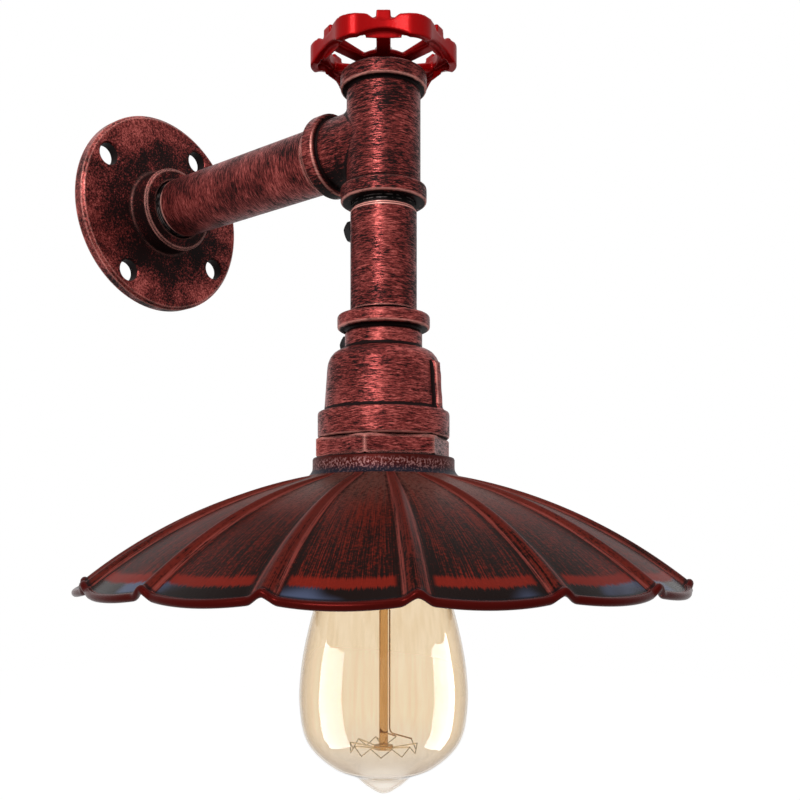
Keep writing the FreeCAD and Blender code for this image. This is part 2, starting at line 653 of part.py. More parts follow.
def shade():
    """Pressed umbrella shade: a collar, raised ribs, sunk panels between them and a rolled lip."""
    start = math.radians(SHADE_START)
    rim = math.asin(math.sin(start) + (SHADE_RIM_R - SHADE_NECK_R) / SHADE_CURVE_R)
    tilts = [start + (rim - start) * i / SLOPE_STEPS for i in range(SLOPE_STEPS + 1)]
    lip_open = math.asin(SHADE_SHEET / 2 / LIP_R)
    lip_turns = [(math.pi - lip_open) * (1 - 2 * i / LIP_STEPS) for i in range(1, LIP_STEPS)]
    half_neck = rib_share(SHADE_NECK_R)[1]
    inner_r = SHADE_NECK_R - SHADE_SHEET * math.sin(start)
    inner_z = neck_z - SHADE_SHEET * math.cos(start)
    hole_r = bush_r + EASE
    under = shade_top - SHADE_SHEET
    flare_z = neck_z + SHADE_COLLAR_FLARE_H
    band_z = flare_z + SHADE_COLLAR_FLARE_H
    collar_in = SHADE_COLLAR_R - SHADE_SHEET
    path = [
        (SHADE_NECK_R, neck_z), (SHADE_COLLAR_R + SHADE_COLLAR_FLARE, flare_z), (SHADE_COLLAR_R, band_z),
        (SHADE_COLLAR_R, shade_top - SHADE_COLLAR_EDGE), (SHADE_COLLAR_R - SHADE_COLLAR_EDGE, shade_top),
        (hole_r, shade_top), (hole_r, under), (collar_in, under), (collar_in, band_z),
        (collar_in + SHADE_COLLAR_FLARE / 2, flare_z - SHADE_SHEET), (inner_r, inner_z),
    ]
    faces = []
    for on_rib, columns in ((True, RIB_COLUMNS), (False, PANEL_COLUMNS)):
        steps = [-1 + 2 * i / (columns - 1) for i in range(columns)]
        outer = [[shade_point(tilt, across, on_rib, 0) for across in steps] for tilt in tilts]
        inner = [[shade_point(tilt, across, on_rib, SHADE_SHEET) for across in steps] for tilt in tilts]
        lip = [outer[-1]]
        for turn in lip_turns:
            depth = SHADE_SHEET / 2 - LIP_R * math.sin(turn)
            along = LIP_R * (math.cos(lip_open) + math.cos(turn))
            lip.append([shade_point(rim, across, on_rib, depth, along) for across in steps])
        lip.append(inner[-1])
        faces += [draped(outer), draped(inner)] + [draped(list(pair)) for pair in zip(lip, lip[1:])]
        turns = [half_neck * across if on_rib else 1 + (1 - half_neck) * across for across in steps]
        turns = [math.pi / SHADE_RIBS * turn for turn in turns]
        collar = [[Vector(r * math.cos(turn), r * math.sin(turn), z) for turn in turns] for r, z in path]
        faces += [draped(list(pair)) for pair in zip(collar, collar[1:])]
    skin = Part.makeCompound([copy for face in faces for copy in around(face, SHADE_RIBS)])
    skin.sewShape(0.02)
    solid = Part.Solid(skin.Shells[0])
    if solid.Volume < 0:
        solid.reverse()
    return on_lamp(solid)


def shade_ring():
    """Ring nut on the bushing's spigot that clamps the shade from below."""
    top = shade_top - SHADE_SHEET
    inner = bush_r + FIT
    outer = inner + RING_WALL
    ring = turned([
        (inner, top), (outer, top), (outer, top - RING_H, RING_EDGE), (inner, top - RING_H, RING_EDGE / 2),
    ])
    notch = rod(RING_NOTCH_D / 2, top - RING_H - OVER, top - RING_NOTCH_LAND, outer, 0)
    return on_lamp(ring.cut(around(notch, RING_NOTCHES)))


def top_plug():
    """Screwed plug that closes the tee's top and carries the switch."""
    body = turned([
        (SWITCH_BUSH_D / 2 + FIT, plug_foot), (thread_r, plug_foot), (thread_r, plug_top - PIPE_EDGE),
        (thread_r - PIPE_EDGE, plug_top), (SWITCH_BUSH_D / 2 + FIT, plug_top),
    ])
    pin_r = PIN_HOLE_D / 2
    pins = [rod(pin_r, plug_top - PLUG_H / 2, plug_top + OVER, side * PIN_HOLE_R, 0) for side in (-1, 1)]
    return on_lamp(body.cut(pins))


def switch_body():
    """Rotary switch: a round case under the plug with a threaded bush that passes up through it."""
    body = turned([
        (0, switch_foot), (SWITCH_D / 2, switch_foot, SWITCH_EDGE), (SWITCH_D / 2, plug_foot),
        (SWITCH_BUSH_D / 2, plug_foot), (SWITCH_BUSH_D / 2, bush_top - SWITCH_BUSH_EDGE),
        (SWITCH_BUSH_D / 2 - SWITCH_BUSH_EDGE, bush_top), (spindle_r + SPINDLE_PLAY, bush_top),
        (spindle_r + SPINDLE_PLAY, spindle_foot - EASE), (0, spindle_foot - EASE),
    ])
    return on_lamp(body)


def switch_nut():
    """Thin hexagon nut that holds the switch to the plug."""
    nut = hexagon(NUT_AF, plug_top, plug_top + NUT_H, NUT_EDGE, WHEEL_TURN)
    return on_lamp(nut.cut(rod(SWITCH_BUSH_D / 2 + FIT, plug_top - OVER, plug_top + NUT_H + OVER)))


def switch_spindle():
    """Turning spindle of the switch, tapped on top for the wheel's screw."""
    top = wheel_top - SPINDLE_SHORT
    hole_foot = wheel_top - WHEEL_SCREW_IN - EASE
    return on_lamp(turned([
        (0, spindle_foot), (spindle_r, spindle_foot, SPINDLE_EDGE), (spindle_r, top),
        (WHEEL_SCREW_D / 2 + FIT, top), (WHEEL_SCREW_D / 2 + FIT, hole_foot), (0, hole_foot),
    ]))


def lobed(offset, low, high):
    """An upright prism with a round lobe between every two spokes and a shallow valley at each spoke."""
    half = math.pi / WHEEL_SPOKES
    lobe_at = RIM_LOBE_R - LOBE_ROUND
    gap = RIM_VALLEY_R - lobe_at * math.cos(half) - LOBE_ROUND
    rest = LOBE_ROUND ** 2 - lobe_at ** 2 - RIM_VALLEY_R ** 2 + 2 * lobe_at * RIM_VALLEY_R * math.cos(half)
    valley_round = rest / (2 * gap)
    valley_centre = Vector(RIM_VALLEY_R + valley_round, 0, low)
    edges = []
    for i in range(WHEEL_SPOKES):
        turn = 360 * i / WHEEL_SPOKES
        lobe_centre = Vector(lobe_at * math.cos(half), lobe_at * math.sin(half), low)
        aside = (valley_centre - lobe_centre) * (1 / (LOBE_ROUND + valley_round))
        joint = lobe_centre + aside * (LOBE_ROUND - offset)
        before = Vector(joint.x, -joint.y, low)
        after = Vector(joint.x * math.cos(2 * half) + joint.y * math.sin(2 * half),
                       joint.x * math.sin(2 * half) - joint.y * math.cos(2 * half), low)
        peak = lobe_centre + Vector(math.cos(half), math.sin(half), 0) * (LOBE_ROUND - offset)
        edges.append(spun(Part.Arc(before, Vector(RIM_VALLEY_R - offset, 0, low), joint).toShape(), turn))
        edges.append(spun(Part.Arc(joint, peak, after).toShape(), turn))
    return Part.Face(Part.Wire(edges)).extrude(Vector(0, 0, high - low))


def handwheel():
    """Cast valve wheel: a dished hub, six spokes, a round track and a rim of six lobes with lugs."""
    low = wheel_foot + RIM_LOW
    high = low + RIM_H
    rim = lobed(0, low, high).cut(lobed(RIM_WALL, low - OVER, high + OVER))
    scoops = []
    dip_z = high - RIM_DIP + RIM_DIP_ROUND
    lift_z = low + RIM_LIFT - RIM_LIFT_ROUND
    for radius, z in ((RIM_DIP_ROUND, dip_z), (RIM_LIFT_ROUND, lift_z)):
        scoop = Part.makeCylinder(radius, RIM_LOBE_R + OVER, Vector(TRACK_R, 0, z), Vector(1, 0, 0))
        scoops += around(scoop, WHEEL_SPOKES)
    rim = rim.cut(scoops)
    web_low = low + RIM_LIFT + TRACK_UP
    track_in = TRACK_R - TRACK_WALL
    web = lobed(RIM_WALL / 2, web_low, web_low + TRACK_WEB)
    web = web.cut(rod(track_in, web_low - OVER, web_low + TRACK_WEB + OVER))
    track = tube(TRACK_R, track_in, web_low, high)
    foot_r = HUB_FOOT_D / 2
    band_low = wheel_foot + HUB_DISH
    slant_low = band_low + HUB_BAND
    slant_high = slant_low + HUB_SLANT_H
    hub = turned([
        (0, wheel_foot), (foot_r, wheel_foot), (HUB_D / 2, band_low), (HUB_D / 2, slant_low),
        (HUB_D / 2 - HUB_SLANT, slant_high), (foot_r, slant_high), (foot_r, wheel_top - HUB_TOP_EDGE),
        (foot_r - HUB_TOP_EDGE, wheel_top), (0, wheel_top),
    ])
    spoke_end = TRACK_R - TRACK_WALL / 2
    spoke = outline([
        (foot_r, band_low - HUB_DISH / 2), (spoke_end, web_low - SPOKE_T / 4), (spoke_end, web_low + SPOKE_T),
        (foot_r, slant_low),
    ]).extrude(Vector(0, SPOKE_W, 0))
    spoke.translate(Vector(0, -SPOKE_W / 2, 0))
    long_edges = [e for e in spoke.Edges if e.BoundBox.XLength > HUB_DISH and e.BoundBox.YLength < FIT]
    spoke = spoke.makeFillet(SPOKE_ROUND, long_edges)
    lug_top = high + LUG_RISE
    lug_face = Part.Face(Part.makePolygon([
        Vector(track_in, -LUG_W / 2, web_low), Vector(track_in, LUG_W / 2, web_low),
        Vector(track_in, LUG_TOP_W / 2, lug_top), Vector(track_in, -LUG_TOP_W / 2, lug_top),
        Vector(track_in, -LUG_W / 2, web_low),
    ]))
    lug = lug_face.extrude(Vector(RIM_VALLEY_R - LUG_BACK - track_in, 0, 0))
    body = rim.fuse([web, track, hub] + around(spoke, WHEEL_SPOKES) + around(lug, WHEEL_SPOKES))
    body = body.cut(rod(spindle_r + FIT, wheel_foot - OVER, wheel_top + OVER))
    return on_lamp(spun(body.removeSplitter(), WHEEL_TURN))


def wheel_washer():
    """Plain washer under the wheel's screw."""
    return on_lamp(tube(WASHER_D / 2, WHEEL_SCREW_D / 2 + FIT, wheel_top, wheel_top + WASHER_T))


def wheel_screw():
    """Domed screw down into the spindle."""
    seat = wheel_top + WASHER_T
    top = seat + WHEEL_SCREW_HEAD_H
    body = turned([
        (0, wheel_top - WHEEL_SCREW_IN), (WHEEL_SCREW_D / 2, wheel_top - WHEEL_SCREW_IN, SPINDLE_EDGE),
        (WHEEL_SCREW_D / 2, seat), (WHEEL_SCREW_HEAD_D / 2, seat),
        (WHEEL_SCREW_HEAD_D / 2, top, WHEEL_SCREW_DOME), (0, top),
    ])
    corner = Vector(-WHEEL_SCREW_HEAD_D / 2, -SLOT_W / 2, top - SLOT_W)
    return on_lamp(body.cut(Part.makeBox(WHEEL_SCREW_HEAD_D, SLOT_W, SLOT_W + OVER, corner)))


def hex_screw(seat_r, tip_r, z):
    """Black hexagon screw that sticks out towards the wall, its head seated at a distance from the axis."""
    shank = rod(SCREW_D / 2, tip_r, seat_r + SCREW_SINK)
    collar = rod(SCREW_AF / 2, seat_r, seat_r + SCREW_SEAT)
    head = hexagon(SCREW_AF, seat_r + SCREW_SEAT, seat_r + SCREW_SEAT + SCREW_HEAD_H, SCREW_EDGE)
    return sideways(shank.fuse([collar, head]).removeSplitter(), z)


def earth_screw():
    """Screw through the drop pipe's wall that holds the earth tag inside."""
    return hex_screw(pipe_r, bore_r - EARTH_IN, earth_z)


def lock_screw():
    """Screw through the reducer's neck that bears on the drop pipe's thread."""
    return hex_screw(neck_r, thread_r + FIT, lock_z)


def earth_tag():
    """Flat solder tag on the earth screw's tip."""
    face = bore_r - TAG_BACK
    tag = Part.makeBox(TAG_W, TAG_T, TAG_W + TAG_TAIL, Vector(-TAG_W / 2, face - TAG_T, -TAG_W / 2))
    hole_from = Vector(0, face - TAG_T - OVER, 0)
    hole = Part.makeCylinder(SCREW_D / 2 + FIT, TAG_T + 2 * OVER, hole_from, Vector(0, 1, 0))
    tag = tag.cut(hole)
    tag.translate(Vector(0, lamp_y, earth_z))
    return tag


def wire(points, radius):
    """A round wire along straight runs joined by tangent arcs. A point is (x, y, z) or ends in a bend."""
    places = [Vector(*point[:3]) for point in points]
    edges = []
    last = places[0]
    for i in range(1, len(places) - 1):
        bend = points[i][3]
        back = (places[i - 1] - places[i]).normalize()
        ahead = (places[i + 1] - places[i]).normalize()
        half = back.getAngle(ahead) / 2
        run = bend / math.tan(half)
        centre = places[i] + (back + ahead).normalize() * (bend / math.sin(half))
        start = places[i] + back * run
        end = places[i] + ahead * run
        middle = centre + (places[i] - centre).normalize() * bend
        edges.append(Part.LineSegment(last, start).toShape())
        edges.append(Part.Arc(start, middle, end).toShape())
        last = end
    edges.append(Part.LineSegment(last, places[-1]).toShape())
    path = Part.Wire(edges)
    away = (places[1] - places[0]).normalize()
    section = Part.Wire(Part.Circle(places[0], away, radius).toShape())
    solid = path.makePipeShell([section], True, False)
    share = solid.Volume / (math.pi * radius ** 2 * path.Length)
    print("wire", round(path.Length, 1), "volume share", round(share, 4))
    return solid


def wire_live():
    """Feed wire from the wall along the arm and up into the switch."""
    z = -WIRE_LOW
    return wire([(-WIRE_SIDE, -WIRE_BACK, z), (-WIRE_SIDE, lamp_y, z, WIRE_BEND),
                 (-WIRE_SIDE, lamp_y, switch_foot)], WIRE_D / 2)


def wire_switched():
    """Wire from the switch down to the live post of the lampholder."""
    start_y = lamp_y - WIRE_SIDE
    turn_z = reducer_top
    post_z = web_foot + POST_RISE
    return wire([
        (0, start_y, switch_foot), (0, start_y, turn_z, WIRE_EASY_BEND),
        (-POST_X, lamp_y, post_z + WIRE_STRAIGHT, WIRE_EASY_BEND), (-POST_X, lamp_y, post_z),
    ], WIRE_D / 2)


def wire_neutral():
    """Wire from the wall straight through to the neutral post of the lampholder."""
    z = -WIRE_LOW
    drop_y = lamp_y + WIRE_NEUTRAL_BACK
    post_z = web_foot + POST_RISE
    return wire([(WIRE_SIDE, -WIRE_BACK, z), (WIRE_SIDE, drop_y, z, WIRE_BEND),
                 (WIRE_SIDE, drop_y, reducer_top, WIRE_EASY_BEND),
                 (POST_X, lamp_y, post_z + WIRE_STRAIGHT, WIRE_EASY_BEND), (POST_X, lamp_y, post_z)],
                WIRE_D / 2)


def wire_earth():
    """Earth wire from the wall to the tag in the drop pipe."""
    z = -WIRE_LOW
    drop_y = lamp_y + bore_r - TAG_BACK - TAG_T - FIT - WIRE_D / 2
    return wire([(0, -WIRE_BACK, z), (0, drop_y, z, WIRE_BEND),
                 (0, drop_y, earth_z + TAG_W / 2 + TAG_AIR)], WIRE_D / 2)


def bulb_outline():
    """The outer line of the glass from its neck to its tip, as a smooth curve of (radius, height)."""
    shares = [
        (0.408, 1.0), (0.52, 0.89), (0.865, 0.6), (0.985, 0.42), (1.0, 0.31), (0.9, 0.178), (0.62, 0.098),
        (0.33, 0.0586), (0.2, 0.028), (0.0, 0.0),
    ]
    span = shoulder_z - tip_z
    points = [Vector(BULB_D / 2 * out, 0, tip_z + span * up) for out, up in shares]
    curve = Part.BSplineCurve()
    curve.interpolate(Points=points)
    return curve


def bulb_glass():
    """Thin pear-shaped envelope with a straight neck that sits in the cap."""
    outer = bulb_outline()
    inner_points = []
    for step in range(GLASS_STEPS):
        at = outer.FirstParameter + (outer.LastParameter - outer.FirstParameter) * step / GLASS_STEPS
        along = outer.tangent(at)[0]
        inward = Vector(along.z, 0, -along.x)
        if inward.x > 0:
            inward = inward * -1
        inner_points.append(outer.value(at) + inward * BULB_WALL)
    inner_points.append(Vector(0, 0, tip_z + BULB_TIP_WALL))
    inner = Part.BSplineCurve()
    inner.interpolate(Points=inner_points)
    neck_in = glass_neck_r - BULB_WALL
    corners = [
        outer.value(outer.FirstParameter), Vector(glass_neck_r, 0, shoulder_z), Vector(glass_neck_r, 0, neck_top),
        Vector(neck_in, 0, neck_top), inner.value(inner.FirstParameter),
    ]
    edges = [Part.LineSegment(*pair).toShape() for pair in zip(corners, corners[1:])]
    edges.append(inner.toShape())
    edges.append(Part.LineSegment(inner_points[-1], Vector(0, 0, tip_z)).toShape())
    edges.append(outer.toShape())
    face = Part.Face(Part.Wire(Part.__sortEdges__(edges)))
    return on_lamp(face.revolve(Vector(0, 0, 0), Vector(0, 0, 1), 360))


def bulb_cap():
    """Thin brass screw cap round the neck of the glass."""
    r = CAP_D / 2
    return on_lamp(turned([
        (r - CAP_WALL, shoulder_z), (r, shoulder_z), (r, cap_top, CAP_EDGE), (r - CAP_SHELF, cap_top),
        (r - CAP_SHELF, cap_top - CAP_WALL), (r - CAP_WALL, cap_top - CAP_WALL, CAP_EDGE - CAP_WALL),
    ]))


def bulb_insulator():
    """Dark glass insulator between the cap and the contact."""
    top = contact_z - CONTACT_H
    eye_r = CAP_D / 2 - CAP_SHELF - FIT
    body = turned([
        (0, cap_top - CAP_WALL), (eye_r, cap_top - CAP_WALL), (eye_r, cap_top),
        (CONTACT_D / 2 + CONTACT_EDGE, top), (0, top),
    ])
    return on_lamp(body.cut(rod(LEAD_D / 2 + FIT, cap_top - OVER, top + OVER, LEAD_X, LEAD_Y)))


def bulb_contact():
    """Round contact on the end of the bulb."""
    return on_lamp(turned([
        (0, contact_z - CONTACT_H), (CONTACT_D / 2, contact_z - CONTACT_H),
        (CONTACT_D / 2 - CONTACT_EDGE, contact_z), (0, contact_z),
    ]))


def bulb_stem():
    """Glass stem: a flare in the bulb's neck, a tube, the press round the leads, a rod and a button."""
    flare_r = glass_neck_r - BULB_WALL - FIT
    flare_top = neck_top - STEM_FLARE_DOWN
    tube_top = flare_top - STEM_FLARE_H
    tube_r = STEM_TUBE_D / 2
    press_top = press_foot + STEM_PRESS_H
    button_top = filament_z + BUTTON_T / 2
    body = turned([
        (flare_r, flare_top), (flare_r, flare_top - STEM_WALL), (tube_r, tube_top), (tube_r, press_foot),
        (STEM_ROD_D / 2, press_foot), (STEM_ROD_D / 2, button_top), (BUTTON_D / 2, button_top),
        (BUTTON_D / 2, button_top - BUTTON_T), (0, button_top - BUTTON_T), (0, press_top),
        (tube_r - STEM_WALL, press_top), (tube_r - STEM_WALL, tube_top), (flare_r - STEM_WALL, flare_top),
    ])
    lead_r = LEAD_D / 2 + FIT
    holes = [rod(lead_r, press_foot - OVER, press_top + OVER, LEAD_X, y) for y in (-LEAD_Y, LEAD_Y)]
    return on_lamp(body.cut(holes))


def filament_points():
    """The corners of the zig-zag, which alternate between its upper and lower edge."""
    first = FILAMENT_OPEN / 2
    count = 2 * FILAMENT_TEETH
    points = []
    for i in range(count + 1):
        angle = math.radians(first + (360 - FILAMENT_OPEN) * i / count)
        z = filament_z + FILAMENT_H / 2 * (1 if i % 2 == 0 else -1)
        points.append(Vector(FILAMENT_R * math.cos(angle), FILAMENT_R * math.sin(angle), z))
    return points


def bulb_filament():
    """Zig-zag filament on an open ring near the bulb's tip."""
    points = filament_points()
    sweep = Part.BRepOffsetAPI.MakePipeShell(Part.makePolygon(points))
    sweep.setTransitionMode(1)
    sweep.add(Part.Wire(Part.Circle(points[0], points[1] - points[0], FILAMENT_D / 2).toShape()))
    sweep.build()
    sweep.makeSolid()
    return on_lamp(sweep.shape())


def bulb_supports():
    """Fine wires from the button to the upper corners of the filament."""
    bars = []
    for point in filament_points()[2:-2:2]:
        outward = Vector(point.x, point.y, 0).normalize()
        start = outward * (BUTTON_D / 2 + FIT) + Vector(0, 0, filament_z)
        end = point - outward * (FILAMENT_D / 2 + FIT)
        bars.append(Part.makeCylinder(SUPPORT_D / 2, (end - start).Length, start, end - start))
    return on_lamp(Part.makeCompound(bars))


def bulb_leads():
    """Two leads through the press to the filament's ends, one from the contact and one from the cap."""
    above = filament_z + FILAMENT_H / 2 + FILAMENT_D
    opening = math.radians(FILAMENT_OPEN / 2)
    end_x = FILAMENT_R * math.cos(opening)
    end_y = FILAMENT_R * math.sin(opening)
    cap_eye = CAP_D / 2 - LEAD_INSIDE
    below = filament_z + LEAD_TURN_UP
    feed = [(LEAD_X, lamp_y + LEAD_Y, contact_z - CONTACT_H), (LEAD_X, lamp_y + LEAD_Y, below, LEAD_BEND),
            (end_x, lamp_y + end_y, above)]
    back = [(LEAD_X, lamp_y - cap_eye, cap_top - CAP_WALL),
            (LEAD_X, lamp_y - cap_eye, neck_top + LEAD_BEND, LEAD_TOP_BEND),
            (LEAD_X, lamp_y - LEAD_Y, neck_top - STEM_FLARE_H, LEAD_BEND),
            (LEAD_X, lamp_y - LEAD_Y, below, LEAD_BEND), (end_x, lamp_y - end_y, above)]
    return Part.makeCompound([wire(feed, LEAD_D / 2), wire(back, LEAD_D / 2)])


def main():
    os.makedirs("parts", exist_ok=True)
    makers = [
        wall_flange, arm_pipe, tee, drop_pipe, reducer, hex_bushing, holder_body, holder_sleeve,
        holder_tongue, holder_screws, holder_posts, shade, shade_ring, top_plug, switch_body,
        switch_nut, switch_spindle, handwheel, wheel_washer, wheel_screw, earth_screw, lock_screw,
        earth_tag, wire_live, wire_switched, wire_neutral, wire_earth, bulb_glass, bulb_cap,
        bulb_insulator, bulb_contact, bulb_stem, bulb_leads, bulb_supports, bulb_filament,
    ]
    for maker in makers:
        shape = maker()
        shape.exportStep(f"parts/{maker.__name__}.step")
        print(maker.__name__, "valid" if shape.isValid() else "NOT VALID", "solids", len(shape.Solids),
              "volume", round(shape.Volume, 1))


if __name__ == "__main__":
    main()
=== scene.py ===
"""Looks of a wall lamp made of painted pipe fittings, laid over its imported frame."""

import logging
import math
from dataclasses import dataclass, field
from enum import Enum

import bmesh
import bpy
from mathutils import Matrix, Vector
from mathutils.geometry import interpolate_bezier


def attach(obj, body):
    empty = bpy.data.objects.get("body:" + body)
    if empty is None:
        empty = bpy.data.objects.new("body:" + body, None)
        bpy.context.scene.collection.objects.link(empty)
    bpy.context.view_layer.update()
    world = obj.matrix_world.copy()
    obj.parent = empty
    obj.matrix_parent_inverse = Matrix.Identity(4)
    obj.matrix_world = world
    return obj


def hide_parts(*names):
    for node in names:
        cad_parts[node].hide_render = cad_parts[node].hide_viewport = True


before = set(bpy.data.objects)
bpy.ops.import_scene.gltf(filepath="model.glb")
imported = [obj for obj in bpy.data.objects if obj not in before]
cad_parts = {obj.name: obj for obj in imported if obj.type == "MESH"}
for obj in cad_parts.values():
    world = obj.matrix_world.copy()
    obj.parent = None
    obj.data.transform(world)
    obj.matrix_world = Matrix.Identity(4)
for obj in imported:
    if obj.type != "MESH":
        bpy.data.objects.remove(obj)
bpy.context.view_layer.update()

MM = 0.001
LAMP_Y = -148.0 * MM          # the lamp hangs on a vertical axis at this distance from the wall
SAME_SPOT = 0.002 * MM        # points closer than this become one
Colour = tuple[float, float, float]
Socket = bpy.types.NodeSocket
Input = float | tuple | Socket

log = logging.getLogger("wall_lamp")


def srgb(red: int, green: int, blue: int) -> Colour:
    """Turns a colour of 0 to 255 a channel into Blender's linear values."""
    shares = (red / 255, green / 255, blue / 255)
    return tuple(s / 12.92 if s <= 0.04045 else ((s + 0.055) / 1.055) ** 2.4 for s in shares)


class Graph:
    """A node tree that is written one node at a time."""

    def __init__(self, name: str) -> None:
        """Starts an empty material.

        Args:
            name: The material's name.
        """
        self.material = bpy.data.materials.new(name)
        self.material.use_nodes = True
        self.tree = self.material.node_tree
        self.tree.nodes.clear()

    def add(self, kind: str, settings: dict | None = None, sockets: dict | None = None) -> bpy.types.Node:
        """Adds a node and fills its inputs.

        Args:
            kind: The node's type, without "ShaderNode".
            settings: Properties of the node.
            sockets: Values or links for its inputs, by name or number.

        Returns:
            The new node.
        """
        node = self.tree.nodes.new("ShaderNode" + kind)
        for key, value in (settings or {}).items():
            setattr(node, key, value)
        for key, value in (sockets or {}).items():
            if isinstance(value, Socket):
                self.tree.links.new(value, node.inputs[key])
            elif isinstance(value, tuple) and node.inputs[key].type == "RGBA":
                node.inputs[key].default_value = (*value, 1.0)
            else:
                node.inputs[key].default_value = value
        return node

    def place(self) -> Socket:
        """Returns the point's object coordinates, in metres."""
        return self.add("TexCoord").outputs["Object"]

    def part(self, vector: Input, axis: int) -> Socket:
        """Returns one number of a coordinate, by 0, 1 or 2 for X, Y or Z."""
        return self.add("SeparateXYZ", None, {0: vector}).outputs[axis]

    def facing(self, axis: int) -> Socket:
        """Returns how far the face looks along an axis of the object, from -1 to 1."""
        return self.part(self.add("TexCoord").outputs["Normal"], axis)

    def length(self, vector: Input) -> Socket:
        """Returns the length of a coordinate."""
        return self.add("VectorMath", {"operation": "LENGTH"}, {0: vector}).outputs["Value"]

    def mapped(self, vector: Input, scale: tuple, shift: tuple = (0.0, 0.0, 0.0)) -> Socket:
        """Returns a coordinate that is scaled and then shifted."""
        return self.add("Mapping", None, {"Vector": vector, "Scale": scale, "Location": shift}).outputs[0]

    def noise(
        self, vector: Input, scale: float, detail: float = 2.0, rough: float = 0.5, warp: float = 0.0
    ) -> Socket:
        """Returns a noise from about 0.2 to 0.8 whose features are counted per metre."""
        grain = {"Scale": scale, "Detail": detail, "Roughness": rough, "Distortion": warp}
        return self.add("TexNoise", None, {"Vector": vector, **grain}).outputs[0]

    def math(self, kind: str, a: Input, b: Input = 0.0, clamp: bool = False) -> Socket:
        """Returns one sum of two numbers, by Blender's name for it."""
        return self.add("Math", {"operation": kind, "use_clamp": clamp}, {0: a, 1: b}).outputs[0]

    def times(self, a: Input, b: Input) -> Socket:
        """Returns the product of two numbers."""
        return self.math("MULTIPLY", a, b)

    def plus(self, a: Input, b: Input) -> Socket:
        """Returns the sum of two numbers."""
        return self.math("ADD", a, b)

    def minus(self, a: Input, b: Input) -> Socket:
        """Returns the difference of two numbers."""
        return self.math("SUBTRACT", a, b)

    def step(self, value: Input, low: float, high: float) -> Socket:
        """Compares a number with two bounds.

        Args:
            value: The number.
            low: Where the result is 0.
            high: Where it is 1. It may be the smaller of the two.

        Returns:
            A smooth step from 0 to 1.
        """
        first, last = (1.0, 0.0) if low > high else (0.0, 1.0)
        sockets = {0: value, 1: min(low, high), 2: max(low, high), 3: first, 4: last}
        return self.add("MapRange", {"interpolation_type": "SMOOTHSTEP"}, sockets).outputs[0]

    def between(self, value: Input, rise: tuple[float, float], fall: tuple[float, float]) -> Socket:
        """Returns a number that grows to 1 over a rise and drops back to 0 over a fall."""
        return self.times(self.step(value, *rise), self.step(value, fall[1], fall[0]))

    def mix(self, share: Input, first: Input, second: Input, strength: float = 1.0) -> Socket:
        """Blends two colours.

        Args:
            share: Where the second colour shows, from 0 to 1.
            first: Colour at 0.
            second: Colour at 1.
            strength: How much of the second shows at most.

        Returns:
            The blend.
        """
        if strength < 1.0:
            share = self.times(share, strength)
        return self.add("Mix", {"data_type": "RGBA"}, {0: share, 6: first, 7: second}).outputs[2]

    def wavy(self, vector: Input, scale: float, reach: float) -> Socket:
        """Makes a coordinate wander a little, so that straight marks become uneven.

        Args:
            vector: The coordinate.
            scale: Waves per metre.
            reach: How far a point may move, in metres.

        Returns:
            The new coordinate.
        """
        wave = self.add("TexNoise", None, {"Vector": vector, "Scale": scale, "Detail": 1.0})
        middle = {0: wave.outputs["Color"], 1: (0.5, 0.5, 0.5)}
        shift = self.add("VectorMath", {"operation": "SUBTRACT"}, middle).outputs[0]
        sockets = {0: shift, 1: (2 * reach,) * 3, 2: vector}
        return self.add("VectorMath", {"operation": "MULTIPLY_ADD"}, sockets).outputs[0]

    def bump(self, height: Input, depth: float, round_off: float = 0.0) -> Socket:
        """Makes the light follow a height.

        Args:
            height: Height from 0 to 1.
            depth: Metres between 0 and 1.
            round_off: Radius in metres by which sharp edges look rounded.

        Returns:
            The new normal.
        """
        sockets = {"Height": height, "Distance": depth, "Strength": 0.8}
        if round_off:
            sockets["Normal"] = self.add("Bevel", {"samples": 4}, {"Radius": round_off}).outputs[0]
        return self.add("Bump", None, sockets).outputs[0]

    def recess(self, reach: float) -> Socket:
        """Returns how open a point is within a reach in metres: 0 in a crack, 1 on a free face."""
        return self.add("AmbientOcclusion", {"samples": 6}, {"Distance": reach}).outputs["AO"]

    def edge(self, radius: float) -> Socket:
        """Finds sharp edges.

        Args:
            radius: Width of the edge in metres.

        Returns:
            1 along the edges and 0 on flat faces.
        """
        soft = self.add("Bevel", {"samples": 4}, {"Radius": radius}).outputs[0]
        face = self.add("NewGeometry").outputs["Normal"]
        along = self.add("VectorMath", {"operation": "DOT_PRODUCT"}, {0: soft, 1: face})
        return self.step(along.outputs["Value"], 0.99, 0.94)

    def ridge(self) -> Socket:
        """Returns how far a casting's mesh stands out: below 0 in corners, above 0 on edges."""
        source = {"attribute_type": "GEOMETRY", "attribute_name": "ridge"}
        return self.add("Attribute", source).outputs["Fac"]

    def polar(self, around: float, out: float) -> Socket:
        """Makes coordinates that run round the lamp's axis and away from it.

        Args:
            around: Scale of the direction from the axis.
            out: Scale of the distance from the axis.

        Returns:
            The coordinate.
        """
        flat = self.mapped(self.place(), (1.0, 1.0, 0.0), (0.0, -LAMP_Y, 0.0))
        turn = self.add("VectorMath", {"operation": "NORMALIZE"}, {0: flat}).outputs[0]
        wide = self.mapped(turn, (around, around, 0.0))
        far = self.add("CombineXYZ", None, {2: self.times(self.length(flat), out)}).outputs[0]
        return self.add("VectorMath", {"operation": "ADD"}, {0: wide, 1: far}).outputs[0]

    def surface(self, sockets: dict) -> bpy.types.Material:
        """Ends the material with one general shader, by the values and links of its inputs."""
        return self.finish(self.add("BsdfPrincipled", None, sockets))

